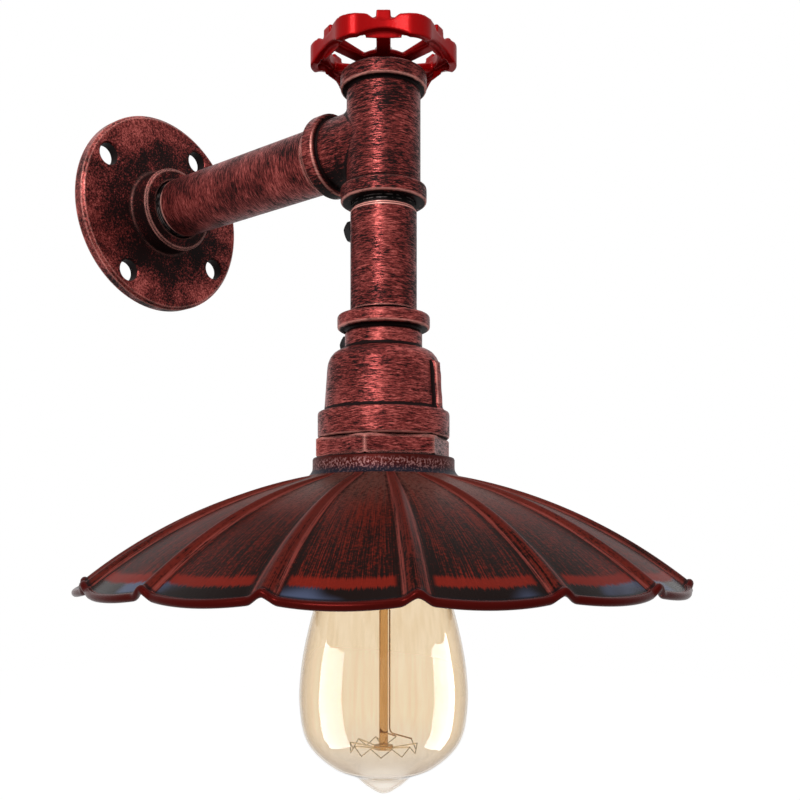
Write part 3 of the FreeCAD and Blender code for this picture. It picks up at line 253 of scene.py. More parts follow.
    def finish(self, shader: bpy.types.Node) -> bpy.types.Material:
        """Links the last shader to the output.

        Args:
            shader: The last node.

        Returns:
            The finished material.
        """
        output = self.add("OutputMaterial")
        self.tree.links.new(shader.outputs[0], output.inputs["Surface"])
        return self.material


class Grain(Enum):
    """Direction of the brush marks in the dry-brushed paint, as scales along X, Y and Z."""

    ROUND_LAMP = (1.0, 1.0, 8.0)
    ROUND_ARM = (1.0, 8.0, 1.0)
    SPECKLE = (2.6, 2.6, 2.6)


@dataclass(frozen=True)
class Finish:
    """A finish that can be given to pieces; each kind makes its own material."""

    name: str

    def material(self) -> bpy.types.Material:
        """Returns the finish's material, which is made once."""
        label = "finish_" + self.name
        return bpy.data.materials.get(label) or self.make(Graph(label))

    def make(self, graph: Graph) -> bpy.types.Material:
        """Returns the material that is written into an empty node tree."""
        raise NotImplementedError


@dataclass(frozen=True)
class BrushedPaint(Finish):
    """Red metallic paint that is dry-brushed over black, bright on the edges with wear and painted
    highlights, with painted shade in corners and on faces that look down.
    """

    grain: Grain = Grain.ROUND_LAMP
    cover: float = 0.5            # share of the ground that the red hides
    patch: float = 0.10           # how much the cover changes from place to place
    patch_size: float = 70.0      # patches per metre
    ground: Colour = srgb(24, 12, 12)
    red: Colour = srgb(112, 43, 41)
    bright: Colour = srgb(198, 102, 95)
    # bright edges: wear, and a painted highlight on lower lips and hexagon corners
    wear_and_highlight: Colour = srgb(236, 160, 148)
    stroke: float = 260.0         # marks per metre along the stroke
    corner_shade_reach: float = 4.0 * MM  # painted shade: the red thins to black in corners nearer than this
    corner_shade: float = 0.24
    underside_shade: float = 0.08           # painted shade: less red on faces that look down
    cast: bool = False            # edges with wear and painted highlights follow the mesh of a casting
    wear_and_highlight_width: float = 1.4 * MM         # width of the edges with wear and painted highlights where it is no casting
    relief: float = 0.12 * MM     # height of the brush marks
    soft: float = 0.35 * MM       # radius by which sharp edges look rounded
    full: tuple[float, float] = (0.43, 0.50)      # thickness at which the red starts and is full
    shine: tuple[float, float] = (0.50, 0.64)     # and at which its bright strokes do
    hub: float = 0.0              # less red round the hub of a plate, whose holes get painted shade too
    hub_reach: tuple[float, float] = (44.0 * MM, 24.0 * MM)      # where that starts and is full
    ring_inner: tuple[float, float] = (27.0 * MM, 29.0 * MM)     # edges of the ring with the holes
    ring_outer: tuple[float, float] = (44.0 * MM, 46.0 * MM)
    rings: tuple[float, ...] = ()     # bare turned rings on a pipe, in metres along its axis
    ring_black: tuple[float, float] = (0.55 * MM, 0.35 * MM)     # each ring's dark sides
    ring_bare: tuple[float, float] = (0.32 * MM, 0.16 * MM)      # and its bright middle
    thread_start: tuple[float, float] = (0.3 * MM, 0.7 * MM)     # past the first ring
    thread_pitch: float = 1.2 * MM
    thread_black: Colour = srgb(14, 11, 11)
    thread_glint: Colour = srgb(128, 116, 114)

    def make(self, graph: Graph) -> bpy.types.Material:
        """Writes the brushed red over its black ground.

        Args:
            graph: An empty node tree.

        Returns:
            The material.
        """
        strokes, level = self.brush(graph)
        open_air = graph.recess(self.corner_shade_reach)
        # painted shade: the red thins to black in corners
        level = graph.minus(level, graph.times(graph.step(open_air, 0.78, 0.30), self.corner_shade))
        # painted shade: less red on faces that look down
        down = graph.facing(2)
        level = graph.minus(level, graph.times(graph.step(down, -0.5, -0.95), self.underside_shade))
        if self.cast:
            ridge = graph.ridge()
            # painted shade: less red in the creases of the casting
            level = graph.minus(level, graph.times(graph.step(ridge, -0.012, -0.05), 0.3))
            # edge wear, kept off edges that face up, where it is also a painted highlight on the lower
            # lips
            edge = graph.times(graph.step(ridge, 0.05, 0.10), graph.step(down, 0.5, -0.1))
        else:
            edge = graph.edge(self.wear_and_highlight_width)
        if self.hub:
            level, edge = self.plate(graph, level, edge)
        covered = graph.step(level, *self.full)
        edges = graph.times(edge, graph.step(open_air, 0.5, 0.85))
        edges = graph.times(edges, graph.step(strokes, 0.28, 0.48))
        colour = graph.mix(covered, self.ground, self.red)
        colour = graph.mix(graph.step(level, *self.shine), colour, self.bright, 0.85)
        # bright edges: wear, and a painted highlight
        colour = graph.mix(edges, colour, self.wear_and_highlight, 0.6)
        if self.rings:
            colour = self.thread(graph, colour)
        return graph.surface({
            "Base Color": colour, "Specular IOR Level": 0.05,
            "Roughness": graph.minus(0.54, graph.times(covered, 0.19)),
            "Metallic": graph.times(graph.math("MAXIMUM", covered, edges), 0.5),
            "Normal": graph.bump(level, self.relief, self.soft),
        })

    def brush(self, graph: Graph) -> tuple[Socket, Socket]:
        """Lays the brush marks.

        Args:
            graph: The material's nodes.

        Returns:
            The coarse marks alone, and the thickness of the red that all marks and patches leave.
        """
        place = graph.place()
        marks = graph.mapped(graph.wavy(place, scale=120.0, reach=0.5 * MM), self.grain.value)
        strokes = graph.noise(marks, self.stroke, detail=4.0, rough=0.7, warp=0.4)
        fine = graph.noise(marks, self.stroke * 2.7, detail=3.0, rough=0.65, warp=0.3)
        patches = graph.noise(place, self.patch_size)
        level = graph.plus(graph.times(strokes, 0.6), graph.times(fine, 0.4))
        shift = graph.times(graph.minus(patches, 0.5), 2.0 * self.patch)
        return strokes, graph.plus(level, graph.plus(shift, self.cover - 0.5))

    def plate(self, graph: Graph, level: Socket, edge: Socket) -> tuple[Socket, Socket]:
        """Keeps the wall plate black round its hub, and paints shade on the walls of its holes.

        Args:
            graph: The material's nodes.
            level: Thickness of the red.
            edge: Where the edges are worn.

        Returns:
            Both, with less red round the hub and on the walls of the holes, the latter as painted shade,
            and with no bright edges in the ring that has the holes.
        """
        away = graph.length(graph.mapped(graph.place(), (1.0, 0.0, 1.0)))
        level = graph.minus(level, graph.times(graph.step(away, *self.hub_reach), self.hub))
        ring = graph.between(away, self.ring_inner, self.ring_outer)
        # painted shade: less red on the walls of the holes, which face across the plate
        across = graph.step(graph.math("ABSOLUTE", graph.facing(1)), 0.5, 0.3)
        level = graph.minus(level, graph.times(graph.times(across, ring), 0.3))
        return level, graph.times(edge, graph.minus(1.0, ring))

    def thread(self, graph: Graph, colour: Socket) -> Socket:
        """Shows the pipe's thread, black and glinting, where it enters its fitting, and the bare rings.

        Args:
            graph: The material's nodes.
            colour: The paint.

        Returns:
            The paint with thread and rings.
        """
        place = graph.place()
        along = graph.part(place, 2 if self.grain is Grain.ROUND_LAMP else 1)
        start, full = self.thread_start
        inside = graph.step(along, self.rings[0] + start, self.rings[0] + full)
        turns = graph.math("SINE", graph.times(along, 2 * math.pi / self.thread_pitch))
        bits = graph.noise(place, 260.0, detail=3.0, rough=0.6)
        glint = graph.times(graph.step(turns, 0.2, 0.9), graph.step(bits, 0.42, 0.6))
        colour = graph.mix(inside, colour, graph.mix(glint, self.thread_black, self.thread_glint))
        for ring in self.rings:
            off = graph.math("ABSOLUTE", graph.minus(along, ring))
            colour = graph.mix(graph.step(off, *self.ring_black), colour, self.ground)
            colour = graph.mix(graph.step(off, *self.ring_bare), colour, self.wear_and_highlight)
        return colour


@dataclass(frozen=True)
class SheetMarks:
    """What the steps of the shade's paint read."""

    aside: Socket      # 0 on a rib's crest, 1 at its foot, 2 in the middle of the panel
    run: Socket        # 0 at the neck, 1 at the lip, up to 2 round the lip
    ragged: Socket     # the same, with a brushed edge
    down: Socket       # streaks down the slope
    upright: Socket    # short streaks on the collar
    streaks: Socket    # both, each in its place
    speck: Socket
    patches: Socket
    level: Socket      # thickness of the red


@dataclass(frozen=True)
class ShadePaint(Finish):
    """The shade's paint: brushed down its slope, with a red and a bare band above its glossy lip; the bare
    band is partly a painted reflection.
    """

    ground: Colour = srgb(20, 9, 7)
    red: Colour = srgb(98, 29, 19)
    glow: Colour = srgb(122, 29, 17)
    crest: Colour = srgb(88, 28, 21)
    # edge wear, and the painted highlight beside the rib crests
    wear_and_highlight: Colour = srgb(178, 92, 84)
    neck_sheen: Colour = srgb(108, 84, 75)
    steel_and_sheen: Colour = srgb(70, 78, 102)
    gloss: Colour = srgb(68, 11, 8)
    groove_shade: Colour = srgb(16, 12, 14)
    collar_top_shadow: Colour = srgb(18, 12, 12)
    collar_red: Colour = srgb(66, 20, 17)
    collar_blue: Colour = srgb(30, 28, 38)
    collar_fleck: Colour = srgb(166, 118, 116)
    collar_top: float = -129.6 * MM
    collar_mid: float = -132.0 * MM
    collar_foot: float = -135.5 * MM
    stripe_top: tuple[float, float] = (0.885, 0.905)     # ways down the sheet, 1 at the lip
    band_top: tuple[float, float] = (0.935, 0.950)
    groove_top: tuple[float, float] = (0.985, 0.995)
    groove_foot: tuple[float, float] = (1.05, 1.09)
    lip_top: tuple[float, float] = (1.05, 1.12)

    def make(self, graph: Graph) -> bpy.types.Material:
        """Writes the panels, ribs, bands, lip and collar.

        Args:
            graph: An empty node tree.

        Returns:
            The material.
        """
        marks = self.marks(graph)
        colour = self.ribs(graph, marks, self.panels(graph, marks))
        stripe = graph.times(graph.step(marks.ragged, *self.stripe_top), graph.step(marks.aside, 1.0, 1.1))
        colour = graph.mix(stripe, colour, self.glow, 0.75)
        band = graph.times(graph.step(marks.ragged, *self.band_top), graph.step(marks.aside, 0.9, 1.05))
        # bare steel blue in patches, which also stands in for a painted reflection of the surround
        bare = graph.mix(graph.step(marks.patches, 0.50, 0.62), self.ground, self.steel_and_sheen)
        colour = graph.mix(band, colour, bare)
        # painted shade in the crease between panel and lip
        groove_shade = graph.between(marks.run, self.groove_top, self.groove_foot)
        colour = graph.mix(groove_shade, colour, self.groove_shade, 0.85)
        lip = graph.step(marks.run, *self.lip_top)
        colour = graph.mix(lip, colour, self.gloss)
        edges = graph.times(graph.edge(0.8 * MM), graph.step(marks.streaks, 0.35, 0.55))
        colour = graph.mix(edges, colour, self.wear_and_highlight, 0.5)
        colour = graph.mix(graph.step(marks.run, -0.02, -0.06), colour, self.collar(graph, marks))
        return graph.surface({
            "Base Color": colour, "Metallic": 0.35, "Specular IOR Level": 0.02,
            "Roughness": graph.minus(0.46, graph.times(graph.math("MAXIMUM", lip, band), 0.2)),
            "Normal": graph.bump(marks.level, 0.06 * MM),
        })

    def marks(self, graph: Graph) -> SheetMarks:
        """Reads the place on the sheet and lays the brush marks.

        Args:
            graph: The material's nodes.

        Returns:
            What the other steps read.
        """
        sheet = graph.add("UVMap", {"uv_map": "sheet"}).outputs[0]
        aside, run = graph.part(sheet, 0), graph.part(sheet, 1)
        place = graph.place()
        down = graph.noise(graph.polar(around=100.0, out=22.0), 2.6, detail=4.0, rough=0.7, warp=0.2)
        speck = graph.noise(place, 900.0, rough=0.6)
        upright = graph.noise(graph.mapped(place, (1.0, 1.0, 0.8)), 1300.0, detail=3.0, rough=0.6)
        streaks = graph.mix(graph.step(run, -0.02, 0.0), upright, down)
        patches = graph.noise(place, 26.0)
        level = graph.plus(graph.times(streaks, 0.68), graph.times(speck, 0.32))
        level = graph.plus(level, graph.times(graph.minus(patches, 0.5), 0.25))
        level = graph.minus(level, graph.times(graph.step(run, 0.35, 0.85), 0.06))
        ragged = graph.plus(run, graph.times(graph.minus(streaks, 0.5), 0.06))
        return SheetMarks(aside, run, ragged, down, upright, streaks, speck, patches, level)

    def panels(self, graph: Graph, marks: SheetMarks) -> Socket:
        """Brushes the panels: a painted sheen near the neck, redder above the lip.

        Args:
            graph: The material's nodes.
            marks: The brush marks.

        Returns:
            The colour.
        """
        colour = graph.mix(graph.step(marks.level, 0.37, 0.60), self.ground, self.red)
        low = graph.times(graph.step(marks.ragged, 0.60, 0.88), graph.step(marks.level, 0.44, 0.58))
        colour = graph.mix(low, colour, self.glow, 0.6)
        # painted sheen: a greyish glaze on the upper panels
        high = graph.times(graph.step(marks.ragged, 0.55, 0.15), graph.step(marks.speck, 0.3, 0.6))
        return graph.mix(high, colour, self.neck_sheen, 0.42)

    def ribs(self, graph: Graph, marks: SheetMarks, colour: Socket) -> Socket:
        """Paints the ribs red, with painted shade at their feet and a painted highlight line beside their
        crest.

        Args:
            graph: The material's nodes.
            marks: The brush marks.
            colour: The panels' colour.

        Returns:
            The colour of both.
        """
        # painted shade: black at the foot of each rib
        foot = graph.between(marks.aside, (0.72, 0.92), (1.02, 1.22))
        foot = graph.times(foot, graph.step(marks.level, 0.62, 0.46))
        colour = graph.mix(foot, colour, self.ground, 0.85)
        rib = graph.times(graph.step(marks.aside, 0.95, 0.7), graph.step(marks.level, 0.34, 0.46))
        colour = graph.mix(rib, colour, self.crest, 0.85)
        # painted highlight: a pale line beside each crest
        crest_highlight = graph.between(marks.aside, (0.5, 0.68), (0.76, 0.92))
        crest_highlight = graph.times(crest_highlight, graph.step(marks.down, 0.35, 0.55))
        return graph.mix(crest_highlight, colour, self.wear_and_highlight, 0.28)

    def collar(self, graph: Graph, marks: SheetMarks) -> Socket:
        """Flecks the collar, which has a painted shadow line at its top and is dull blue at its foot.

        Args:
            graph: The material's nodes.
            marks: The brush marks.

        Returns:
            The colour.
        """
        height = graph.part(graph.place(), 2)
        foot = graph.step(height, self.collar_mid, self.collar_foot)
        fleck = graph.step(marks.upright, 0.46, 0.62)
        fleck = graph.math("SUBTRACT", fleck, graph.times(foot, 0.7), clamp=True)
        fleck = graph.times(fleck, graph.step(height, self.collar_top, self.collar_mid))
        colour = graph.mix(foot, self.collar_red, self.collar_blue)
        colour = graph.mix(fleck, colour, self.collar_fleck, 0.75)
        # painted shadow: a thin black line along the collar's top edge
        top = graph.step(height, self.collar_top, self.collar_top + 0.5 * MM)
        return graph.mix(top, colour, self.collar_top_shadow)


@dataclass(frozen=True)
class GlossPaint(Finish):
    """Thick glossy enamel with the small unevenness of a painted casting."""

    colour: Colour = srgb(152, 6, 8)
    deep: Colour = srgb(88, 1, 3)
    rough: float = 0.34
    metal: float = 0.28
    coat: float = 0.04
    pool_and_shade_reach: float = 5.0 * MM        # darker in corners nearer than this, as thicker pooled enamel and as painted shade

    def make(self, graph: Graph) -> bpy.types.Material:
        """Writes enamel that is darker in the corners, partly as pooled enamel and partly as painted
        shade.

        Args:
            graph: An empty node tree.

        Returns:
            The material.
        """
        place = graph.place()
        orange = graph.noise(place, 420.0)
        tone = graph.noise(place, 60.0)
        # darker in corners: pooled enamel and painted shade
        pooled_and_shaded = graph.step(graph.recess(self.pool_and_shade_reach), 0.95, 0.4)
        colour = graph.mix(pooled_and_shaded, self.colour, self.deep, 0.8)
        colour = graph.mix(graph.step(tone, 0.5, 0.75), colour, self.deep, 0.25)
        return graph.surface({
            "Base Color": colour, "Roughness": self.rough, "Metallic": self.metal,
            "Specular IOR Level": 0.03, "Coat Weight": self.coat, "Coat Roughness": 0.1,
            "Normal": graph.bump(orange, 0.05 * MM, 0.3 * MM),
        })


@dataclass(frozen=True)
class BareMetal(Finish):
    """Metal with turning marks and a little tarnish."""

    colour: Colour = srgb(170, 168, 165)
    tarnish: Colour = srgb(95, 92, 90)
    rough: float = 0.3
    metal: float = 1.0

    def make(self, graph: Graph) -> bpy.types.Material:
        """Writes the metal, its marks and its tarnish.

        Args:
            graph: An empty node tree.

        Returns:
            The material.
        """
        place = graph.place()
        marks = graph.noise(graph.mapped(place, (1.0, 1.0, 9.0)), 500.0, rough=0.6)
        stain = graph.noise(place, 240.0, detail=3.0, rough=0.6)
        return graph.surface({
            "Base Color": graph.mix(graph.step(stain, 0.45, 0.7), self.colour, self.tarnish),
            "Roughness": graph.plus(graph.times(stain, 0.25), self.rough - 0.1),
            "Metallic": self.metal, "Normal": graph.bump(marks, 0.02 * MM, 0.15 * MM),
        })


@dataclass(frozen=True)
class Moulding(Finish):
    """Plastic, porcelain or coloured cable sheath with a fine uneven skin."""

    colour: Colour
    shade: Colour
    rough: float
    grain: float = 600.0          # features of the skin per metre

    def make(self, graph: Graph) -> bpy.types.Material:
        """Writes the skin and its slight change of tone.

        Args:
            graph: An empty node tree.

        Returns:
            The material.
        """
        place = graph.place()
        tone = graph.noise(place, self.grain * 0.2)
        skin = graph.noise(place, self.grain)
        return graph.surface({
            "Base Color": graph.mix(graph.step(tone, 0.35, 0.65), self.colour, self.shade),
            "Roughness": self.rough, "Normal": graph.bump(skin, 0.02 * MM),
        })


@dataclass(frozen=True)
class BlownGlass(Finish):
    """Clear glass with a tint that is faintly drawn out along the bulb, with painted shade along its
    outline and low on the bulb.
    """

    tint: Colour = srgb(247, 235, 216)
    streak: Colour = srgb(243, 229, 207)
    low: Colour = srgb(234, 226, 216)     # painted shade: greyer from low_top down to low_foot
    tip: Colour = srgb(250, 245, 238)     # and clearer again down to tip_foot
    rim: Colour = srgb(176, 150, 118)     # painted shade where the glass is seen aslant
    # painted shade: a thin dark outline where the glass turns away
    outline: Colour = srgb(84, 68, 52)
    low_top: float = -236.0 * MM
    low_foot: float = -256.0 * MM
    tip_foot: float = -259.0 * MM
    ior: float = 1.2

    def make(self, graph: Graph) -> bpy.types.Material:
        """Writes the tinted glass.

        Args:
            graph: An empty node tree.

        Returns:
            The material.
        """
        place = graph.place()
        drawn = graph.noise(graph.mapped(place, (1.0, 1.0, 0.04)), 420.0)
        colour = graph.mix(graph.step(drawn, 0.4, 0.65), self.tint, self.streak)
        height = graph.part(place, 2)
        # painted shade: greyer low on the bulb, paler again at the tip
        colour = graph.mix(graph.step(height, self.low_top, self.low_foot), colour, self.low)
        colour = graph.mix(graph.step(height, self.low_foot, self.tip_foot), colour, self.tip)
        # painted shade that darkens the glass towards its outline
        aslant = graph.add("LayerWeight", None, {"Blend": 0.5}).outputs["Facing"]
        colour = graph.mix(graph.step(aslant, 0.42, 0.95), colour, self.rim)
        colour = graph.mix(graph.step(aslant, 0.80, 0.98), colour, self.outline, 0.7)
        return graph.surface({
            "Base Color": colour, "Roughness": 0.0, "IOR": self.ior, "Transmission Weight": 1.0,
        })


PLUG_PAINT = BrushedPaint("painted_fitting")
# wide bright corners on the hexagon: wear, and a painted highlight
HEXAGON_PAINT = BrushedPaint("painted_hexagon", wear_and_highlight_width=2.6 * MM)
REDUCER_PAINT = BrushedPaint("painted_reducer", cover=0.50, cast=True)
TEE_PAINT = BrushedPaint("painted_tee", cover=0.47, cast=True)
FLANGE_PAINT = BrushedPaint(
    "painted_flange", Grain.SPECKLE, cover=0.50, patch=0.16, patch_size=90.0,
    stroke=400.0, corner_shade=0.40, hub=0.10,
)
DROP_PAINT = BrushedPaint("painted_drop_pipe", cover=0.475, rings=(-28.9 * MM, -29.8 * MM))
ARM_PAINT = BrushedPaint(
    "painted_arm_pipe", Grain.ROUND_ARM, cover=0.485, patch=0.14, underside_shade=0.0,
    rings=(-19.6 * MM, -20.5 * MM),
)
SHADE_PAINT = ShadePaint("painted_shade")
WHEEL_RED = GlossPaint("wheel_enamel")
BLACK_STEEL = BareMetal("black_steel", srgb(24, 25, 27), srgb(12, 12, 13), rough=0.42, metal=0.6)
PLAIN_STEEL = BareMetal("plain_steel")
BRASS = BareMetal("brass", srgb(190, 150, 80), srgb(130, 96, 48), rough=0.32)
CAP_BRASS = BareMetal("cap_brass", srgb(205, 170, 105), srgb(150, 116, 66), rough=0.28)
FINE_WIRE = BareMetal("fine_wire", srgb(158, 140, 114), srgb(128, 110, 88), rough=0.6, metal=0.1)
PALE_WIRE = BareMetal("pale_wire", srgb(206, 188, 160), srgb(186, 166, 138), rough=0.6, metal=0.1)
LEAD_WIRE = BareMetal("lead_wire", srgb(150, 116, 80), srgb(126, 94, 62), rough=0.6, metal=0.1)
PORCELAIN = Moulding("porcelain", srgb(232, 230, 224), srgb(222, 219, 212), rough=0.18)
SWITCH_CASE = Moulding("switch_case", srgb(28, 28, 30), srgb(18, 18, 20), rough=0.45)
BLACK_GLASS = Moulding("black_glass", srgb(14, 12, 18), srgb(8, 7, 10), rough=0.12)
BROWN_WIRE = Moulding("brown_wire", srgb(96, 56, 36), srgb(84, 48, 30), rough=0.42)
BLUE_WIRE = Moulding("blue_wire", srgb(34, 84, 158), srgb(28, 74, 142), rough=0.42)
GREEN_WIRE = Moulding("green_wire", srgb(70, 140, 52), srgb(150, 168, 44), rough=0.42, grain=900.0)
AMBER_GLASS = BlownGlass("amber_glass")
# the rod's painted shade along its outline is dark brown
ROD_GLASS = BlownGlass(
    "rod_glass", tint=srgb(212, 174, 126), streak=srgb(200, 160, 112), low=srgb(200, 160, 112),
    rim=srgb(60, 38, 20), outline=srgb(60, 38, 20),
)


@dataclass
class Assembly:
    """A group of pieces on one body, built first and dressed after."""

    body: str
    pieces: dict[str, bpy.types.Object] = field(default_factory=dict)

    def build(self) -> None:
        """Makes the group's meshes."""
        raise NotImplementedError

    def dress(self) -> None:
        """Gives the pieces their finishes."""
        raise NotImplementedError

    def put(
        self, name: str, mesh: bmesh.types.BMesh, nodes: tuple[str, ...], slot: str, crease: float = 32.0
    ) -> bpy.types.Object:
        """Turns a finished bmesh into a piece that rides on the group's body.

        Args:
            name: The piece's name.
            mesh: Its shape, which is used up.
            nodes: Nodes of the frame that it stands for.
            slot: Not used.
            crease: Edges sharper than this many degrees stay sharp.

        Returns:
            The new object.
        """
        for face in mesh.faces:
            face.smooth = True
        for edge in mesh.edges:
            edge.smooth = edge.calc_face_angle(math.pi) < math.radians(crease)
        data = bpy.data.meshes.new(name)
        mesh.to_mesh(data)
        mesh.free()
        piece = bpy.data.objects.new(name, data)
        bpy.context.scene.collection.objects.link(piece)
        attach(piece, self.body)
        if nodes:
            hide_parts(*nodes)
        self.pieces[name] = piece
        return piece

    def smooth_copy(self, node: str, slot: str, crease: float = 32.0) -> bpy.types.Object:
        """Stands a merged and smoothly shaded copy in for a node.

        Args:
            node: The node's name.
            slot: Material slot of the record.
            crease: Edges sharper than this many degrees stay sharp.

        Returns:
            The copy.
        """
        mesh = bmesh.new()
        mesh.from_mesh(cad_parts[node].data)
        bmesh.ops.remove_doubles(mesh, verts=mesh.verts, dist=SAME_SPOT)
        for layer in list(mesh.loops.layers.uv):
            mesh.loops.layers.uv.remove(layer)
        return self.put(node + "_skin", mesh, (node,), slot, crease)

    def cast_copy(self, node: str, slot: str, grain: float, passes: int) -> bpy.types.Object:
        """Stands a copy in for a cast node, with its corners rounded as sand leaves them.

        Args:
            node: The node's name.
            slot: Material slot of the record.
            grain: Size of the new mesh's faces in millimetres.
            passes: How often the mesh is smoothed; more passes round it further.

        Returns:
            The copy.
        """
        piece = self.smooth_copy(node, slot, crease=180.0)
        remesh = piece.modifiers.new("grain", "REMESH")
        remesh.mode = "VOXEL"
        remesh.voxel_size = grain * MM
        remesh.use_smooth_shade = True
        soften = piece.modifiers.new("soften", "SMOOTH")
        soften.factor = 0.5
        soften.iterations = passes
        graph = bpy.context.evaluated_depsgraph_get()
        sharp = piece.data
        piece.data = bpy.data.meshes.new_from_object(piece.evaluated_get(graph), depsgraph=graph)
        piece.modifiers.clear()
        bpy.data.meshes.remove(sharp)
        self.mark_ridges(piece.data)
        return piece

    def mark_ridges(self, data: bpy.types.Mesh) -> None:
        """Stores how far each point of an even mesh stands out of its neighbours, for the edges with wear
        and painted highlights and for the painted shade in its creases.

        Args:
            data: The mesh, which gets an attribute "ridge".
        """
        mesh = bmesh.new()
        mesh.from_mesh(data)
        mesh.verts.ensure_lookup_table()
        near = [[edge.other_vert(vert).index for edge in vert.link_edges] for vert in mesh.verts]
        out = []
        for vert, others in zip(mesh.verts, near):
            steps = [(vert.co - mesh.verts[other].co).normalized().dot(vert.normal) for other in others]
            out.append(sum(steps) / len(steps))
        for _ in range(2):
            sums = [out[i] + sum(out[j] for j in others) for i, others in enumerate(near)]
            out = [total / (1 + len(others)) for total, others in zip(sums, near)]
        mesh.free()
        data.attributes.new("ridge", "FLOAT", "POINT").data.foreach_set("value", out)

    def paint(self, name: str, finish: Finish) -> None:
        """Gives a piece of this group, or a node that is kept, one finish.

        Args:
            name: The piece or the node.
            finish: What it gets.
        """
        piece = self.pieces.get(name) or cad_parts[name]
        piece.data.materials.clear()
        piece.data.materials.append(finish.material())

    def report(self) -> None:
        """Logs the group's pieces."""
        group = type(self).__name__
        for name, piece in self.pieces.items():
            log.info("%s: %s on %s, %d faces", group, name, self.body, len(piece.data.polygons))


@dataclass
class WallMount(Assembly):
    """Wall plate and the pipe that carries the lamp."""

    def build(self) -> None:
        """Makes the plate and the arm."""
        self.smooth_copy("wall_flange", "fitting_paint")
        self.smooth_copy("arm_pipe", "pipe_paint")

    def dress(self) -> None:
        """Paints plate and arm."""
        self.paint("wall_flange_skin", FLANGE_PAINT)
        self.paint("arm_pipe_skin", ARM_PAINT)


@dataclass
class TeeHead(Assembly):
    """Tee with the plug and the switch in its top."""

    def build(self) -> None:
        """Makes the tee's smooth skin."""
        self.cast_copy("tee", "fitting_paint", grain=0.5, passes=3)

    def dress(self) -> None:
        """Paints the tee and dresses the switch in it."""
        self.paint("tee_skin", TEE_PAINT)
        self.paint("top_plug", PLUG_PAINT)
        self.paint("switch_body", SWITCH_CASE)
        self.paint("switch_nut", PLAIN_STEEL)


@dataclass
class Wheel(Assembly):
    """Valve wheel with its spindle, washer and screw."""

    def build(self) -> None:
        """Makes the wheel's smooth skin."""
        self.cast_copy("handwheel", "wheel_red", grain=0.4, passes=5)

    def dress(self) -> None:
        """Paints the wheel and dresses what holds it."""
        self.paint("handwheel_skin", WHEEL_RED)
        for name in ("switch_spindle", "wheel_washer", "wheel_screw"):
            self.paint(name, PLAIN_STEEL)


@dataclass
class Drop(Assembly):
    """Drop pipe, reducer and hexagon bushing with their side screws."""

    def build(self) -> None:
        """Makes the skins of the three fittings."""
        self.smooth_copy("drop_pipe", "pipe_paint")
        self.cast_copy("reducer", "fitting_paint", grain=0.55, passes=3)
        self.smooth_copy("hex_bushing", "fitting_paint")

    def dress(self) -> None:
        """Paints the fittings and blackens the screws."""
        self.paint("drop_pipe_skin", DROP_PAINT)
        self.paint("reducer_skin", REDUCER_PAINT)
        self.paint("hex_bushing_skin", HEXAGON_PAINT)
        self.paint("earth_screw", BLACK_STEEL)
        self.paint("lock_screw", BLACK_STEEL)
        self.paint("earth_tag", BRASS)


@dataclass(frozen=True)
class Row:
    """One line round the shade's sheet, in millimetres and radians."""

    r: float
    z: float
    tilt: float
    place: float             # below 0 on the collar, 0 at the neck, 1 at the lip, up to 2 round it
    depth: float = 0.0       # into the sheet
    along: float = 0.0       # down the slope, past its curve


